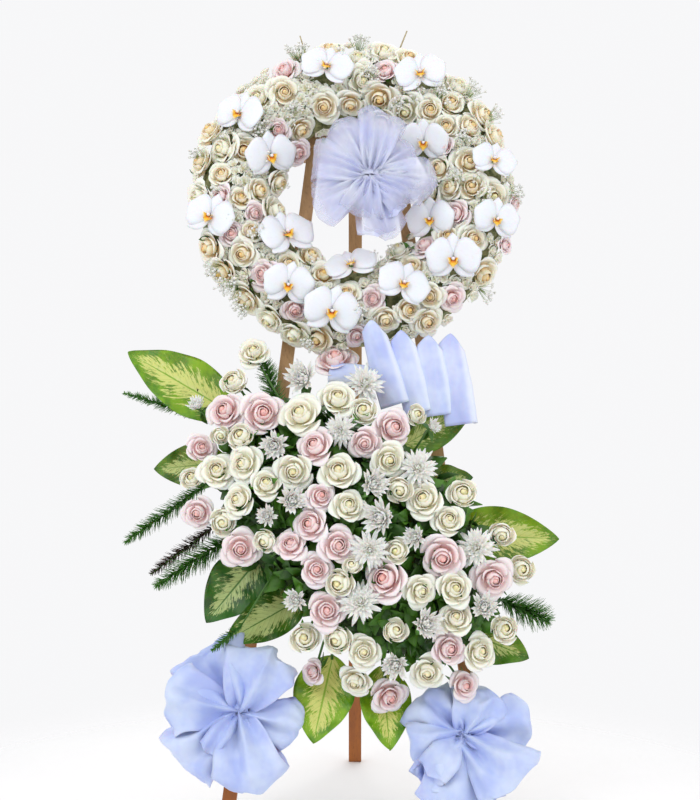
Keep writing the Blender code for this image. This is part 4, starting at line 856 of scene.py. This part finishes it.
def rose_head(seed, petals, opening, ruffle=0.02):
    """A rose of radius 1: a closed spiral heart in a cup, then broad petals whose rims roll outwards."""
    draw = random.Random(seed)
    shape = Shape()
    heart = petals * 4 // 9
    roll_starts = 0.66
    for i in range(petals):
        inner = i < heart
        share = i / heart if inner else (i - heart) / (petals - heart - 1)
        layer = 0.45 * share if inner else 0.55 + 0.45 * share
        turn = GOLDEN * i + draw.uniform(-0.15, 0.15)
        wide = 1.60 - 0.45 * share if inner else 0.98 - 0.20 * share
        reach = 0.02 + 0.38 * share ** 0.9 if inner else (0.47 + 0.53 * share ** 0.9) * opening
        rim = 0.20 - 0.10 * share if inner else 0.05 - 0.34 * share ** 1.2 * opening ** 3
        rim += draw.uniform(-0.03, 0.03)
        roll = 0.03 if inner else draw.uniform(0.12, 0.24)
        fall = 0.10 if inner else draw.uniform(0.16, 0.26)
        phase = draw.uniform(0, ANY_TURN)
        bulge = 0.20 * (1 - layer * opening ** 2) + max(0.0, 0.3 * (1 - opening))

        def laid_out(u, v):
            v *= 1 - fall * (0.4 * u * u + 0.6 * u ** 4) - 0.03 * math.sin(2.2 * u + phase)
            curl = max(0.0, v - roll_starts) / 0.34
            out = ROSE_ROOT + (reach - ROSE_ROOT) * math.sin(min(1, v) * math.pi / 2) ** 0.75
            out += bulge * math.sin(math.pi * min(1, v)) + roll * 0.8 * curl ** 2 + 0.035 * u
            high = -ROSE_DEEP + (rim + ROSE_DEEP) * v ** 1.1 - roll * curl ** 2
            high += ruffle * math.sin(4.5 * u + phase) * curl
            out += 0.12 * layer * curl * (1 - abs(u)) ** 2 + ruffle * math.cos(5.0 * u + phase) * curl
            angle = turn + u * wide * (0.35 + 0.65 * math.sin(min(1, 1.25 * v) * math.pi / 2))
            return around(angle, out, 0, high)

        shape.sheet(*((5, 4) if inner else (7, 5)), laid_out, "white_petal", 0.03 + 0.97 * layer)
    shape.thicken(ROSE_THICK)
    shape.bead(0.15, (0, 0, -0.02), 1.25, "white_petal", 0.5, 0.08)
    for i in range(SEPALS):
        turn = 2 * math.pi * i / SEPALS + 0.3

        def sepal(u, v):
            across = 0.15 * u * math.sin(math.pi * (0.12 + 0.86 * v))
            return around(turn, 0.10 + 0.52 * v, across, -0.90 + 0.20 * v + 0.05 * u * u)

        shape.sheet(2, 3, sepal, "stem_green")
    shape.thicken(ROSE_THICK)
    shape.calyx(0.07, 0.19, 0.30, -0.94)
    return shape.mesh("rose")


def mum_head(seed, petals=92, closed=0.0):
    """A spider mum of radius 1: long slim petals, the outer ones splayed and the inner ones curled in."""
    draw = random.Random(seed)
    shape = Shape()
    for i in range(petals):
        share = i / (petals - 1)
        turn = GOLDEN * i + draw.uniform(-0.15, 0.15)
        long = (0.24 + 0.82 * share ** 0.7) * draw.uniform(0.86, 1.06)
        rise = math.radians(84 - (88 - 50 * closed) * share ** 0.8 + draw.uniform(-9, 9))
        bend = draw.uniform(0.3, 0.9) * (1.1 - share + closed) - 0.15
        half = draw.uniform(0.062, 0.086)

        def laid_out(u, v):
            lift = rise + bend * v
            out = 0.05 + long * v * math.cos(rise + 0.5 * bend * v)
            high = -0.32 + long * v * math.sin(rise + 0.5 * bend * v)
            width = half * (0.55 + 0.75 * math.sin(math.pi * min(1, v * 0.82 + 0.08)))
            across = width * u * (0.35 if v > 0.99 else 1)
            cupped = 0.55 * half * u * u
            return around(turn, out - cupped * math.sin(lift), across, high + cupped * math.cos(lift))

        shape.sheet(2, 4, laid_out, "mum_petal", 0.15 + 0.85 * share)
    shape.thicken(PETAL_THICK)
    shape.calyx(0.06, 0.22, 0.28, -0.44)
    return shape.mesh("mum")


def tuft_head(seed):
    """A small ruffled flower of radius 1 that fills a gap between larger ones."""
    draw = random.Random(seed)
    shape = Shape()
    for i in range(TUFT_PETALS):
        share = i / (TUFT_PETALS - 1)
        turn = GOLDEN * i + draw.uniform(-0.3, 0.3)
        reach, top, phase = 0.25 + 0.75 * share, 0.18 - 0.30 * share, draw.uniform(0, ANY_TURN)

        def laid_out(u, v):
            out = reach * math.sin(v * math.pi / 2) * (1 - 0.14 * u * u)
            out += 0.06 * math.sin(5 * u + phase) * v
            high = -0.6 + (top + 0.6) * v + 0.09 * math.cos(4 * u + phase) * v
            return around(turn + u * (1.0 - 0.2 * share) * (0.3 + 0.7 * v), out, 0, high)

        shape.sheet(4, 2, laid_out, "tuft_petal", 0.4 + 0.6 * share)
    shape.thicken(0.02)
    return shape.mesh("tuft")


def orchid_face(seed):
    """A moth orchid of radius 1: three sepals behind, two broad side petals, and a lip under its column."""
    draw = random.Random(seed)
    shape = Shape()

    def blade(turn, long, half, blunt, high, cup):
        phase = draw.uniform(0, ANY_TURN)

        def laid_out(u, v):
            width = half * max(0.10, math.sin(math.pi * (0.06 + 0.90 * v) ** blunt)) ** 0.62
            out = 0.06 + long * v * (1 - 0.10 * u * u * v)
            lift = high + cup * (v * (1 - v) * 2 - 0.5 * u * u) + 0.018 * math.sin(3 * u + 4 * v + phase)
            return around(turn, out, width * u, lift)

        shape.sheet(7, 8, laid_out, "orchid_petal")

    for degrees in (90, 218, 322):
        blade(math.radians(degrees + draw.uniform(-5, 5)), 0.88, 0.31, 0.95, -0.07, 0.07)
    for degrees in (14, 166):
        blade(math.radians(degrees + draw.uniform(-5, 5)), 0.98, 0.66, 1.10, 0.02, 0.13)
    shape.thicken(PETAL_THICK)

    def tongue(u, v):
        half = 0.12 * (1.15 - v) + 0.07 * math.sin(math.pi * min(1, v * 1.6))
        return Vector((half * u, -0.03 - 0.27 * v, 0.07 + 0.16 * math.sin(1.9 * v) - 0.05 * u * u))

    def wing(side):
        return lambda u, v: Vector((side * (0.05 + 0.12 * v + 0.03 * u), -0.02 + 0.09 * u, 0.06 + 0.17 * v))

    shape.sheet(4, 6, tongue, "orchid_lip")
    for side in (-1, 1):
        shape.sheet(3, 3, wing(side), "orchid_lip")
    shape.thicken(0.016)
    shape.bead(0.065, (0, 0.035, 0.13), 1.6, "orchid_petal", 0.9, 0.9)
    shape.calyx(0.05, 0.10, 0.34, -0.19)
    return shape.mesh("orchid")


def painted(mesh, finish):
    """A copy of a rose whose petals have another colour."""
    copy = mesh.copy()
    for face in copy.polygons:
        if face.material_index == BY_NAME["white_petal"]:
            face.material_index = BY_NAME[finish]
    return copy


def small_leaf(seed):
    """A short pointed leaf of length 1, folded along its midrib."""
    draw = random.Random(seed)
    shape = Shape()
    bend, half = draw.uniform(0.1, 0.35), draw.uniform(0.20, 0.30)

    def laid_out(u, v):
        width = half * math.sin(math.pi * (0.06 + 0.92 * v)) ** 0.8
        return Vector((width * u, v, -bend * v * v + 0.35 * width * abs(u)))

    shape.sheet(2, 3, laid_out, "small_leaf")
    shape.thicken(PETAL_THICK)
    return shape.mesh("small_leaf")


def floret():
    """A tiny ruffled floret of radius 1."""
    shape = Shape()
    made = shape.cone(10, 0.3, 1.0, 0.9, Matrix.Identity(4), "breath_floret")
    top = [vert for vert in made if vert.co.z > 0]
    rim = sorted(top, key=lambda vert: math.atan2(vert.co.y, vert.co.x))
    for vert in rim[::2]:
        vert.co = Vector((vert.co.x * 0.6, vert.co.y * 0.6, vert.co.z + 0.35))
    return shape.mesh("floret")


def needle(finish):
    """A slim needle of length 1 that lies along +Y."""
    shape = Shape()
    turn = Matrix.Rotation(math.radians(-90), 4, "X")
    place = Matrix.Translation((0, 0.5, 0)) @ turn
    shape.cone(3, 0.055, 0.012, 1.0, place, finish)
    return shape.mesh("needle")


ROSES = [rose_head(seed, 16, 0.92 + 0.05 * (seed % 3)) for seed in range(5)]
BUDS = [rose_head(40 + seed, 13, 0.70, 0.012) for seed in range(3)]
SMALL_ROSES = [rose_head(50 + seed, 13, 0.95) for seed in range(3)]
CARNATION = rose_head(70, 20, 0.98, 0.085)
MUMS = [mum_head(3), mum_head(4, 86), mum_head(5, 80, 0.75)]
HEADS = {
    "rose": ROSES,
    "bud": BUDS,
    "cream": [painted(mesh, "cream_petal") for mesh in ROSES],
    "fill": [painted(mesh, "cream_petal") for mesh in SMALL_ROSES] + SMALL_ROSES[:2] + [CARNATION],
    "pink": [painted(mesh, "pink_petal") for mesh in ROSES],
    "mum": MUMS,
    "orchid": [orchid_face(seed) for seed in range(4)],
}
GROWTH = {"rose": 1.18, "bud": 1.42, "cream": 1.24, "fill": 1.32, "pink": 1.16, "mum": 1.30, "orchid": 1.12}
TUFTS = [tuft_head(seed) for seed in range(3)]
SMALL_LEAVES = [small_leaf(seed) for seed in range(3)]
FLORET = floret()
NEEDLES = {finish: needle(finish) for finish in ("foxtail_needles", "dark_plume")}


def set_bloom(shape, kind, radius, place, draw):
    """One bloom of a kind, a little fuller than the solid that it stands for."""
    mesh = draw.choice(HEADS[kind])
    size = radius * GROWTH[kind]
    shape.put(mesh, place @ Matrix.Diagonal((size, size, size, 1)), draw.random())


def turned(place, radius, share, most, draw):
    """A bloom's place, turned about its base by a share of the way to the eye and then tipped by chance."""
    base = Vector((0, 0, -0.6 * radius))
    spot = place @ base
    to_eye = place.col[2].to_3d().rotation_difference((EYE - spot).normalized())
    turn = Quaternion().slerp(to_eye, share).to_matrix().to_4x4()
    side = Matrix.Rotation(draw.uniform(0, 2 * math.pi), 4, "Z") @ Vector((1, 0, 0))
    tip = Matrix.Rotation(most * math.sqrt(draw.random()), 4, side)
    facing = Matrix.Translation(spot) @ turn @ Matrix.Translation(-spot)
    return facing @ place @ Matrix.Translation(base) @ tip @ Matrix.Translation(-base)


def growing(way, side):
    """A turn that lays a leaf or a needle along its way."""
    return Matrix((side, way, side.cross(way))).transposed().to_4x4()


def leaf_at(shape, root, way, face, long, draw):
    """A small leaf that grows from its root along a way, with its upper side turned to a face."""
    side = way.cross(face).normalized()
    place = Matrix.Translation(root) @ growing(way, side) @ Matrix.Scale(long, 4)
    shape.put(draw.choice(SMALL_LEAVES), place, draw.random())


def any_way(draw):
    return Vector((draw.gauss(0, 1), draw.gauss(0, 1), draw.gauss(0, 1))).normalized()


def gaps_between(blooms, centre, draw):
    """Places on the ring with room for a small flower, as (angle, distance, radius)."""
    taken = [(spot, radius * GROWTH[kind] * share_of_room(kind)) for kind, radius, _, _, spot in blooms]
    for _ in range(GAP_TRIES):
        angle, distance = draw.uniform(0, 2 * math.pi), draw.uniform(*GAP_BAND)
        spot = Vector((centre[0] + distance * math.cos(angle), centre[1] + distance * math.sin(angle)))
        room = min((spot - other).length - reach for other, reach in taken)
        if room > GAP_LEAST:
            size = min(TUFT_MOST, room + TUFT_OVER)
            taken.append((spot, size * TUFT_ROOM))
            yield angle, distance, size


def make_wreath():
    """The ring, a stretch at a time: its mossy bed, blooms, leaves between them and baby's breath."""
    draw = random.Random(RING_SEED)
    blooms = wreath_blooms()
    centre = wreath_centre()
    stretches = [Shape() for _ in range(SECTORS)]

    def stretch_at(angle):
        return stretches[int(((angle + STRETCH / 2) % (2 * math.pi)) / STRETCH) % SECTORS]

    for kind, radius, place, angle, _ in blooms:
        set_bloom(stretch_at(angle), kind, radius, turned(place, radius, *RING_TURN, draw), draw)
    for angle, distance, size in gaps_between(blooms, centre, draw):
        normal, height = ring_normal(angle, distance)
        root = ring_point(angle, distance, height - TUFT_SUNK)
        place = Matrix.Translation(root) @ frame_for(normal, draw.uniform(0, ANY_TURN))
        stretch_at(angle).put(draw.choice(TUFTS), place @ Matrix.Scale(size, 4), draw.random())
    for index, stretch in enumerate(stretches):
        ring_bed(stretch, index)
        for _ in range(RING_LEAVES):
            angle = STRETCH * (index + draw.uniform(-0.5, 0.5))
            distance = draw.uniform(*LEAF_BAND)
            normal, height = ring_normal(angle, distance)
            way = (any_way(draw) + normal * 0.9).normalized()
            root = ring_point(angle, distance, height - LEAF_SUNK)
            leaf_at(stretch, root, way, normal, draw.uniform(*RING_LEAF_SIZES), draw)
    for across, up, reach, count in BREATH:
        x, y = lean_place(slope(across, up, BREATH_FORWARD))
        angle, distance = math.atan2(y - centre[1], x - centre[0]), math.hypot(x - centre[0], y - centre[1])
        breath(stretch_at(angle), angle, distance, reach * CM, count, draw)
    for _ in range(LOOSE_SPRIGS):
        angle, distance = draw.uniform(0, 2 * math.pi), draw.uniform(*SPRIG_BAND)
        breath(stretch_at(angle), angle, distance, *SPRIG, draw)
    for index, stretch in enumerate(stretches, 1):
        stretch.piece(f"ring_blooms_{index}", "cream_bloom", f"wreath_flowers_{index}")


def ring_bed(shape, index):
    """A stretch of the moss that wraps the foam ring, turned round the wreath's middle."""
    start = STRETCH * (index - 0.5) + STRETCH_GAP
    points = [shape.bm.verts.new(ring_point(start, distance, height)) for distance, height in RING_PROFILE]
    face = shape.bm.faces.new(points)
    bmesh.ops.spin(shape.bm, geom=[face], cent=lean_point(*wreath_centre(), 0), axis=-FORWARD,
                   angle=-(STRETCH - 2 * STRETCH_GAP), steps=8, use_duplicate=False)
    for vert in joined(points, lambda vert: [other for edge in vert.link_edges for other in edge.verts]):
        vert[shape.numbers["along"]] = 0.5
        for other in vert.link_faces:
            other.material_index = BY_NAME["pale_moss"]


def breath(shape, angle, distance, reach, count, draw):
    """A cloud of tiny florets, each on a thin stalk from one root."""
    normal, height = ring_normal(angle, distance)
    root = ring_point(angle, distance, height - BREATH_SUNK)
    for _ in range(count):
        away = any_way(draw) * reach * draw.random() ** 0.5
        away -= normal * away.dot(normal)
        tip = root + away + normal * draw.uniform(*BREATH_HEIGHTS)
        shape.rod(root + away * 0.2, tip, *BREATH_STALK, "breath_stalk", 3)
        size = draw.uniform(*FLORET_SIZES)
        face = (any_way(draw) * 0.6 + normal).normalized()
        place = Matrix.Translation(tip) @ frame_for(face, draw.uniform(0, ANY_TURN))
        shape.put(FLORET, place @ Matrix.Scale(size, 4), draw.random())


def make_spray():
    """The spray's blooms on their stems, and the greens that they stand in."""
    draw = random.Random(BRANCH_SEED)
    pinks, whites = spray_groups()
    kinds = (("pink_roses", "pink_bloom", pinks), ("white_blooms", "white_bloom", whites))
    for kind, slot_name, groups in kinds:
        for number, group in enumerate(groups, 1):
            shape = Shape()
            for bloom in group:
                flower, radius, place = bloom
                if flower == "rose" and radius < BUD_RADIUS:
                    flower = "bud"
                set_bloom(shape, flower, radius, turned(place, radius, *SPRAY_BLOOM_TURN, draw), draw)
                start, end = stem_ends(bloom)
                shape.rod(start, end, *BLOOM_STEM, "stem_green", 6)
                for _ in range(STEM_LEAVES):
                    root = below(bloom, 1.0)
                    way = (any_way(draw) + (end - start).normalized() * 0.4).normalized()
                    leaf_at(shape, root, way, -(end - start), draw.uniform(*STEM_LEAF_SIZES), draw)
            shape.piece(f"{kind}_in_bloom_{number}", slot_name, f"{kind}_{number}")
    greens = Shape()
    heart = bmesh.ops.create_icosphere(greens.bm, subdivisions=4, radius=1)
    greens.solid(heart, "moss_bed")
    for vert in heart["verts"]:
        p, q, up = vert.co
        if up > 0:
            vert.co = bed_point(p, q, 0.99)[0]
        else:
            vert.co = spray_point(p * BED_LONG, q * BED_SHORT, BED_BACK)
        vert.co += FORWARD * BED_ROUGH * noise.noise(vert.co * 40) * (up > 0)
    for i in range(BED_LEAVES):
        share = 1.02 * math.sqrt((i + 0.5) / BED_LEAVES)
        root, way = bed_point(share * math.cos(i * GOLDEN), share * math.sin(i * GOLDEN))
        lean = (way * draw.uniform(0.35, 1.1) + any_way(draw) * 0.8).normalized()
        leaf_at(greens, root - way * 0.006, lean, way, draw.uniform(*BED_LEAF_SIZES), draw)
    greens.piece("spray_foliage", "greens", "spray_greens")


def foam_point(root):
    """Where a stem that starts at this root enters the foam."""
    across, along = lean_place(root)
    level = lean_place(slope(*SPRAY_MIDDLE, SPRAY_LOW))[1]
    across = max(-FOAM_LONG, min(FOAM_LONG, across))
    return lean_point(across, level + max(-FOAM_SHORT, min(FOAM_SHORT, along - level)), FOAM_TOP)


def make_leaves():
    """The broad leaves: keeled blades with waved edges and raised side veins, each on its stalk."""
    for name, blade in LEAVES.items():
        yellow, cream = LEAF_TONES[name]
        shape = Shape()

        def laid_out(u, v):
            here, _, across, up = leaf_frame(blade, v)
            half = blade[2] * CM * max(leaf_width(v), 0.012)
            share = abs(u)
            wave = LEAF_WAVE * math.sin(7.0 * v * math.pi + u + 5 * cream) * share
            slant = v - VEIN_SLANT * share
            ribs = LEAF_RIB * math.cos(2 * math.pi * SIDE_VEINS * slant) * min(1, 3 * share) * (1 - share)
            groove = -LEAF_GROOVE * max(0.0, 1 - share / 0.06)
            keel = half * (0.16 * share + 0.05 * share ** 3)
            return here + across * half * u + up * (keel + wave + ribs + groove)

        shape.sheet(16, 50, laid_out, "variegated_leaf", yellow)
        for vert in shape.bm.verts:
            vert[shape.numbers["bloom"]] = cream
        shape.thicken(LEAF_THICK)
        root = leaf_frame(blade, 0.05)[0]
        shape.rod(root, foam_point(root), *LEAF_STEM, "stem_green", 8)
        midrib = [leaf_frame(blade, part / MIDRIB_PARTS) for part in range(MIDRIB_PARTS + 1)]
        for (low, *_, up), (high, *_, up_next) in zip(midrib, midrib[1:]):
            start, end = low - up * MIDRIB_DROP, high - up_next * MIDRIB_DROP
            shape.rod(start, end, 0.0014, 0.0012, "stem_green", 6)
        shape.piece(f"{name}_blade", "leaf", name)


def make_fronds():
    """The plumes: a rib set all round with needles that shorten towards both ends."""
    draw = random.Random(FROND_SEED)
    for name, (root, tip, half, low, high, dense) in FRONDS.items():
        finish = "dark_plume" if name == "frond_dark" else "foxtail_needles"
        outline = (root, tip, half, low, high, 0)
        long = (slope(*tip, high * CM) - slope(*root, low * CM)).length
        shape = Shape()
        rib = [leaf_frame(outline, part / RIB_PARTS)[0] for part in range(RIB_PARTS + 1)]
        for start, end in zip(rib, rib[1:]):
            shape.rod(start, end, 0.0014, 0.0012, "stem_green", 5)
        count = int(long / CM * dense)
        for i in range(count):
            t = (i + draw.random()) / count
            here, along, across, up = leaf_frame(outline, t)
            reach = half * CM * math.sin(math.pi * (0.12 + 0.84 * t)) ** 0.6 * draw.uniform(0.75, 1.12)
            turn = draw.uniform(0, 2 * math.pi)
            out = across * math.cos(turn) + up * math.sin(turn) * 0.6
            way = (out + along * draw.uniform(0.5, 0.9)).normalized()
            spun = growing(way, way.orthogonal().normalized())
            size = Matrix.Diagonal((NEEDLE_THICK, reach, NEEDLE_THICK, 1))
            shape.put(NEEDLES[finish], Matrix.Translation(here) @ spun @ size, draw.random())
        shape.rod(rib[0], foam_point(rib[0]), 0.0016, 0.0030, "stem_green", 6)
        shape.piece(f"{name}_plume", "greens", name)


def crumple(point):
    """A smooth shift in every direction that depends on the point alone."""
    return Vector([noise.noise(point + away) for away in CRUMPLE_FROM])


def ribbon_loop(shape, centre, degrees, long, half, tilt, finish, draw):
    """A loop of ribbon that runs out from the knot, turns over and comes back, gathered at the knot."""
    angle = math.radians(degrees)
    way = Vector((math.cos(angle), 0, 0)) + UPWARD * math.sin(angle)
    way = (way * math.cos(tilt) + FORWARD * math.sin(tilt)).normalized()
    side = way.cross(FORWARD).normalized()
    front = side.cross(way)
    fold_counts, fold_depth, rumple = FOLDS[finish]
    phase, folds = draw.uniform(0, ANY_TURN), draw.uniform(*fold_counts)
    spot = Vector((draw.uniform(0, 50), draw.uniform(0, 50), 0))

    def laid_out(u, v):
        turn = math.pi * v
        opened = math.sin(turn)
        out = long * max(0.02, opened ** 0.70) * (1 - 0.16 * u * u + 0.06 * math.sin(2.6 * u + phase))
        width = half * (0.16 + 0.90 * opened ** 0.5)
        deep = half * 0.50 * math.cos(turn) * (0.25 + opened ** 0.5)
        fold = math.sin(folds * math.pi * u + phase + 0.8 * math.sin(2 * turn))
        deep += fold * half * fold_depth * (1.2 - 0.6 * opened)
        gather = math.sin(9 * u + phase) * half * 0.07 * (1 - opened)
        rough = crumple(Vector((u * 1.1, v * 2.6, phase)) + spot)
        rough += 0.4 * crumple(Vector((u * 2.9, v * 6.5, phase)) + spot)
        rough = rough * half * rumple * opened * (1 - 0.4 * u * u)
        return centre + way * out + side * width * u + front * (deep + gather) + rough

    shape.sheet(20, 36, laid_out, finish)


def ribbon_tail(shape, centre, degrees, long, half, lift, finish, draw):
    """A loose end that runs out from the knot, lifts over the loops and ripples."""
    angle = math.radians(degrees)
    way = Vector((math.cos(angle), 0, 0)) + UPWARD * math.sin(angle)
    side = way.cross(FORWARD).normalized()
    phase = draw.uniform(0, ANY_TURN)

    def laid_out(u, v):
        width = half * (0.25 + 0.75 * min(1, v * 2.2))
        end = 0.5 * half * abs(u) * max(0.0, v - 0.9) * 10
        deep = 0.010 * math.sin(7 * v + phase) + 0.007 * math.sin(5 * u + phase + 2 * v) + 0.012 * v
        deep += lift * min(1, 3 * v) ** 0.7
        return centre + way * (long * v - end) + side * width * u + FORWARD * deep

    shape.sheet(12, 30, laid_out, finish)


def make_bow(place, forward, loops, tails, tilt, finish, seed):
    """A bow of gathered loops and loose ends round a wrapped knot, and the area of ribbon in it."""
    draw = random.Random(seed)
    shape = Shape()
    centre = slope(*place, forward)
    for i, (degrees, long, half) in enumerate(loops):
        lift = tilt * (1 if i % 2 else LOW_LOOP)
        ribbon_loop(shape, centre, degrees, long, half, lift, finish, draw)
    for degrees, long, half, lift in tails:
        ribbon_tail(shape, centre + FORWARD * TAIL_FORWARD, degrees, long, half, lift, finish, draw)

    def knot(u, v):
        turn = 2 * math.pi * v * 0.97
        reach = KNOT_RADIUS * (1 - 0.22 * u * u) + 0.002 * math.sin(9 * u + 3 * turn)
        middle = centre + Vector((KNOT_HALF * u, 0, 0))
        return middle + UPWARD * reach * math.sin(turn) + FORWARD * reach * math.cos(turn)

    shape.sheet(10, 28, knot, finish)
    return shape, ribbon_area(shape)


def ribbon_area(shape):
    """The area of the ribbon laid out so far, before it is given its thickness."""
    area = sum(face.calc_area() for face in shape.bm.faces)
    shape.thicken(RIBBON_THICK)
    return area


def wire(shape, start, end):
    """A stiff green wire between two places seen from the front, each (across, up, forward)."""
    shape.rod(slope(*start), slope(*end), WIRE, WIRE, "stem_green", 6)


def make_ribbons():
    """The satin bows on the legs, the tulle bow in the wreath and the pleated ribbon under it."""
    bows = (("bow_left", LEFT_BOW_PLACE, LEFT_BOW_LOOPS, LEFT_BOW_TAILS, "leg_left", LEFT_BOW_SEED),
            ("bow_right", RIGHT_BOW_PLACE, RIGHT_BOW_LOOPS, RIGHT_BOW_TAILS, "leg_right", RIGHT_BOW_SEED))
    for name, place, loops, tails, leg, seed in bows:
        shape, area = make_bow(place, BOW_FORWARD, loops, tails, SATIN_TILT, "satin_ribbon", seed)
        made = shape.piece(f"{name}_satin", "satin", name)
    shape, area = make_bow(TULLE_PLACE, TULLE_FORWARD, TULLE_LOOPS, TULLE_TAILS, NET_TILT, "tulle_net",
                           TULLE_SEED)
    wire(shape, (*TULLE_PLACE, TULLE_FORWARD), (*TULLE_HOOK, TULLE_FORWARD))
    wire(shape, (*TULLE_HOOK, TULLE_FORWARD), (*TULLE_PIN, PIN_FORWARD))
    made = shape.piece("tulle_bow_net", "tulle", "tulle_bow")
    shape = Shape()
    for number, (top, foot, half) in enumerate(PLEATS + [PLEAT_WING]):
        pleat(shape, top, foot, half, number)
    # Painted highlight on each pleat's right side, carried in the bloom number that the satin finish reads
    for vert in shape.bm.verts:
        painted_highlight = (vert[shape.numbers["across"]] - PAINTED_HIGHLIGHT_FROM) / PAINTED_HIGHLIGHT_OVER
        vert[shape.numbers["bloom"]] = max(0.0, min(1.0, painted_highlight))
    area = ribbon_area(shape)
    wire(shape, *PLEAT_PIN)
    made = shape.piece("pleated_satin", "satin", "pleated_ribbon")


def pleat(shape, top, foot, half, number):
    """A broad panel of folded ribbon: a peaked top, a nearly flat front and a soft roll at its right."""
    start, end = slope(*top, PLEAT_TOP), slope(*foot, PLEAT_FOOT)
    way = (end - start).normalized()
    side = FORWARD.cross(way).normalized()
    front = way.cross(side)
    wide, behind = half * CM, PLEAT_STEP * number

    def laid_out(u, v):
        down = v + (1 - v) * (0.12 * max(0.0, -u - 0.1) ** 1.5 + 0.30 * max(0.0, u + 0.1) ** 1.5)
        flat = min(u, ROLL_FROM)
        turned = max(0.0, u - ROLL_FROM) / 0.45 * math.pi * 0.95
        across = wide * flat + PLEAT_ROLL * math.sin(turned)
        deep = 0.010 * (1 - flat ** 2) + PLEAT_ROLL * (math.cos(turned) - 1) * 1.4 - behind
        deep += 0.005 * v * math.sin(2.2 * u + 1.7 * number)
        deep += 0.002 * noise.noise(Vector((u * 3, v * 4, number * 7.0)))
        return start + (end - start) * down + side * across * (0.80 + 0.20 * min(1, 2 * v)) + front * deep

    shape.sheet(24, 24, laid_out, "satin_ribbon")


def finish_frame():
    """Finishes for the wooden easel, its pin, the foams, the tray and the canes."""
    wood = wood_finish()
    steel = rough_finish("drawn_steel", tone(0.55, 0.56, 0.58), tone(0.74, 0.75, 0.77), 900.0, 0.28, 0.15,
                         Metallic=1.0)
    foam = rough_finish("wet_foam", tone(0.05, 0.22, 0.10), tone(0.14, 0.42, 0.20), 420.0, 0.8, 0.9)
    plastic = rough_finish("tray_plastic", tone(0.04, 0.13, 0.06), tone(0.07, 0.20, 0.09), 240.0, 0.42, 0.15)
    cane = rough_finish("dry_cane", tone(0.56, 0.50, 0.36), tone(0.80, 0.75, 0.60), 300.0, 0.6, 0.4)
    finishes = {"wood": wood, "steel": steel, "wet_foam": foam, "tray_plastic": plastic, "cane": cane}
    slots = {row["node"]: row["material_slot"] for row in frame["record"]["subparts"]}
    for name, node in frame["nodes"].items():
        finish = finishes.get(slots[name])
        if finish:
            node.data.materials.clear()
            node.data.materials.append(finish)


def set_up_view():
    """The photograph's eye, a pale floor and soft studio light."""
    camera = bpy.data.objects.new("camera", bpy.data.cameras.new("camera"))
    bpy.context.scene.collection.objects.link(camera)
    camera.location = EYE + SHIFT
    camera.rotation_euler = (math.radians(90), 0, 0)
    camera.data.lens, camera.data.sensor_width = LENS, SENSOR
    bpy.context.scene.camera = camera
    floor = bmesh.new()
    bmesh.ops.create_circle(floor, cap_ends=True, segments=64, radius=FLOOR_EDGE)
    mesh = bpy.data.meshes.new("floor")
    floor.to_mesh(mesh)
    floor.free()
    ground = bpy.data.objects.new("floor", mesh)
    ground.location = (0, 0, -FLOOR_DROP)
    bpy.context.scene.collection.objects.link(ground)
    mesh.materials.append(floor_finish())
    for name, place, size, power in LAMPS:
        light = bpy.data.lights.new(name, "AREA")
        light.size, light.energy = size, power
        lamp = bpy.data.objects.new(name, light)
        lamp.location = place
        lamp.rotation_euler = (LAMP_AIM - lamp.location).to_track_quat("-Z", "Y").to_euler()
        bpy.context.scene.collection.objects.link(lamp)
    world = bpy.data.worlds.new("studio")
    world.use_nodes = True
    nodes, links = world.node_tree.nodes, world.node_tree.links
    nodes["Background"].inputs["Color"].default_value = tone(0.985, 0.98, 0.985)
    nodes["Background"].inputs["Strength"].default_value = SKY_STRENGTH
    kinds = ("ShaderNodeBackground", "ShaderNodeMixShader", "ShaderNodeLightPath")
    seen, both, path = (nodes.new(kind) for kind in kinds)
    seen.inputs["Color"].default_value = tone(0.97, 0.97, 0.975)
    links.new(path.outputs["Is Camera Ray"], both.inputs[0])
    links.new(nodes["Background"].outputs[0], both.inputs[1])
    links.new(seen.outputs[0], both.inputs[2])
    links.new(both.outputs[0], nodes["World Output"].inputs["Surface"])
    bpy.context.scene.world = world
    bpy.context.scene.view_settings.view_transform = "Standard"


set_up_view()
finish_frame()
make_wreath()
make_spray()
make_leaves()
make_fronds()
make_ribbons()
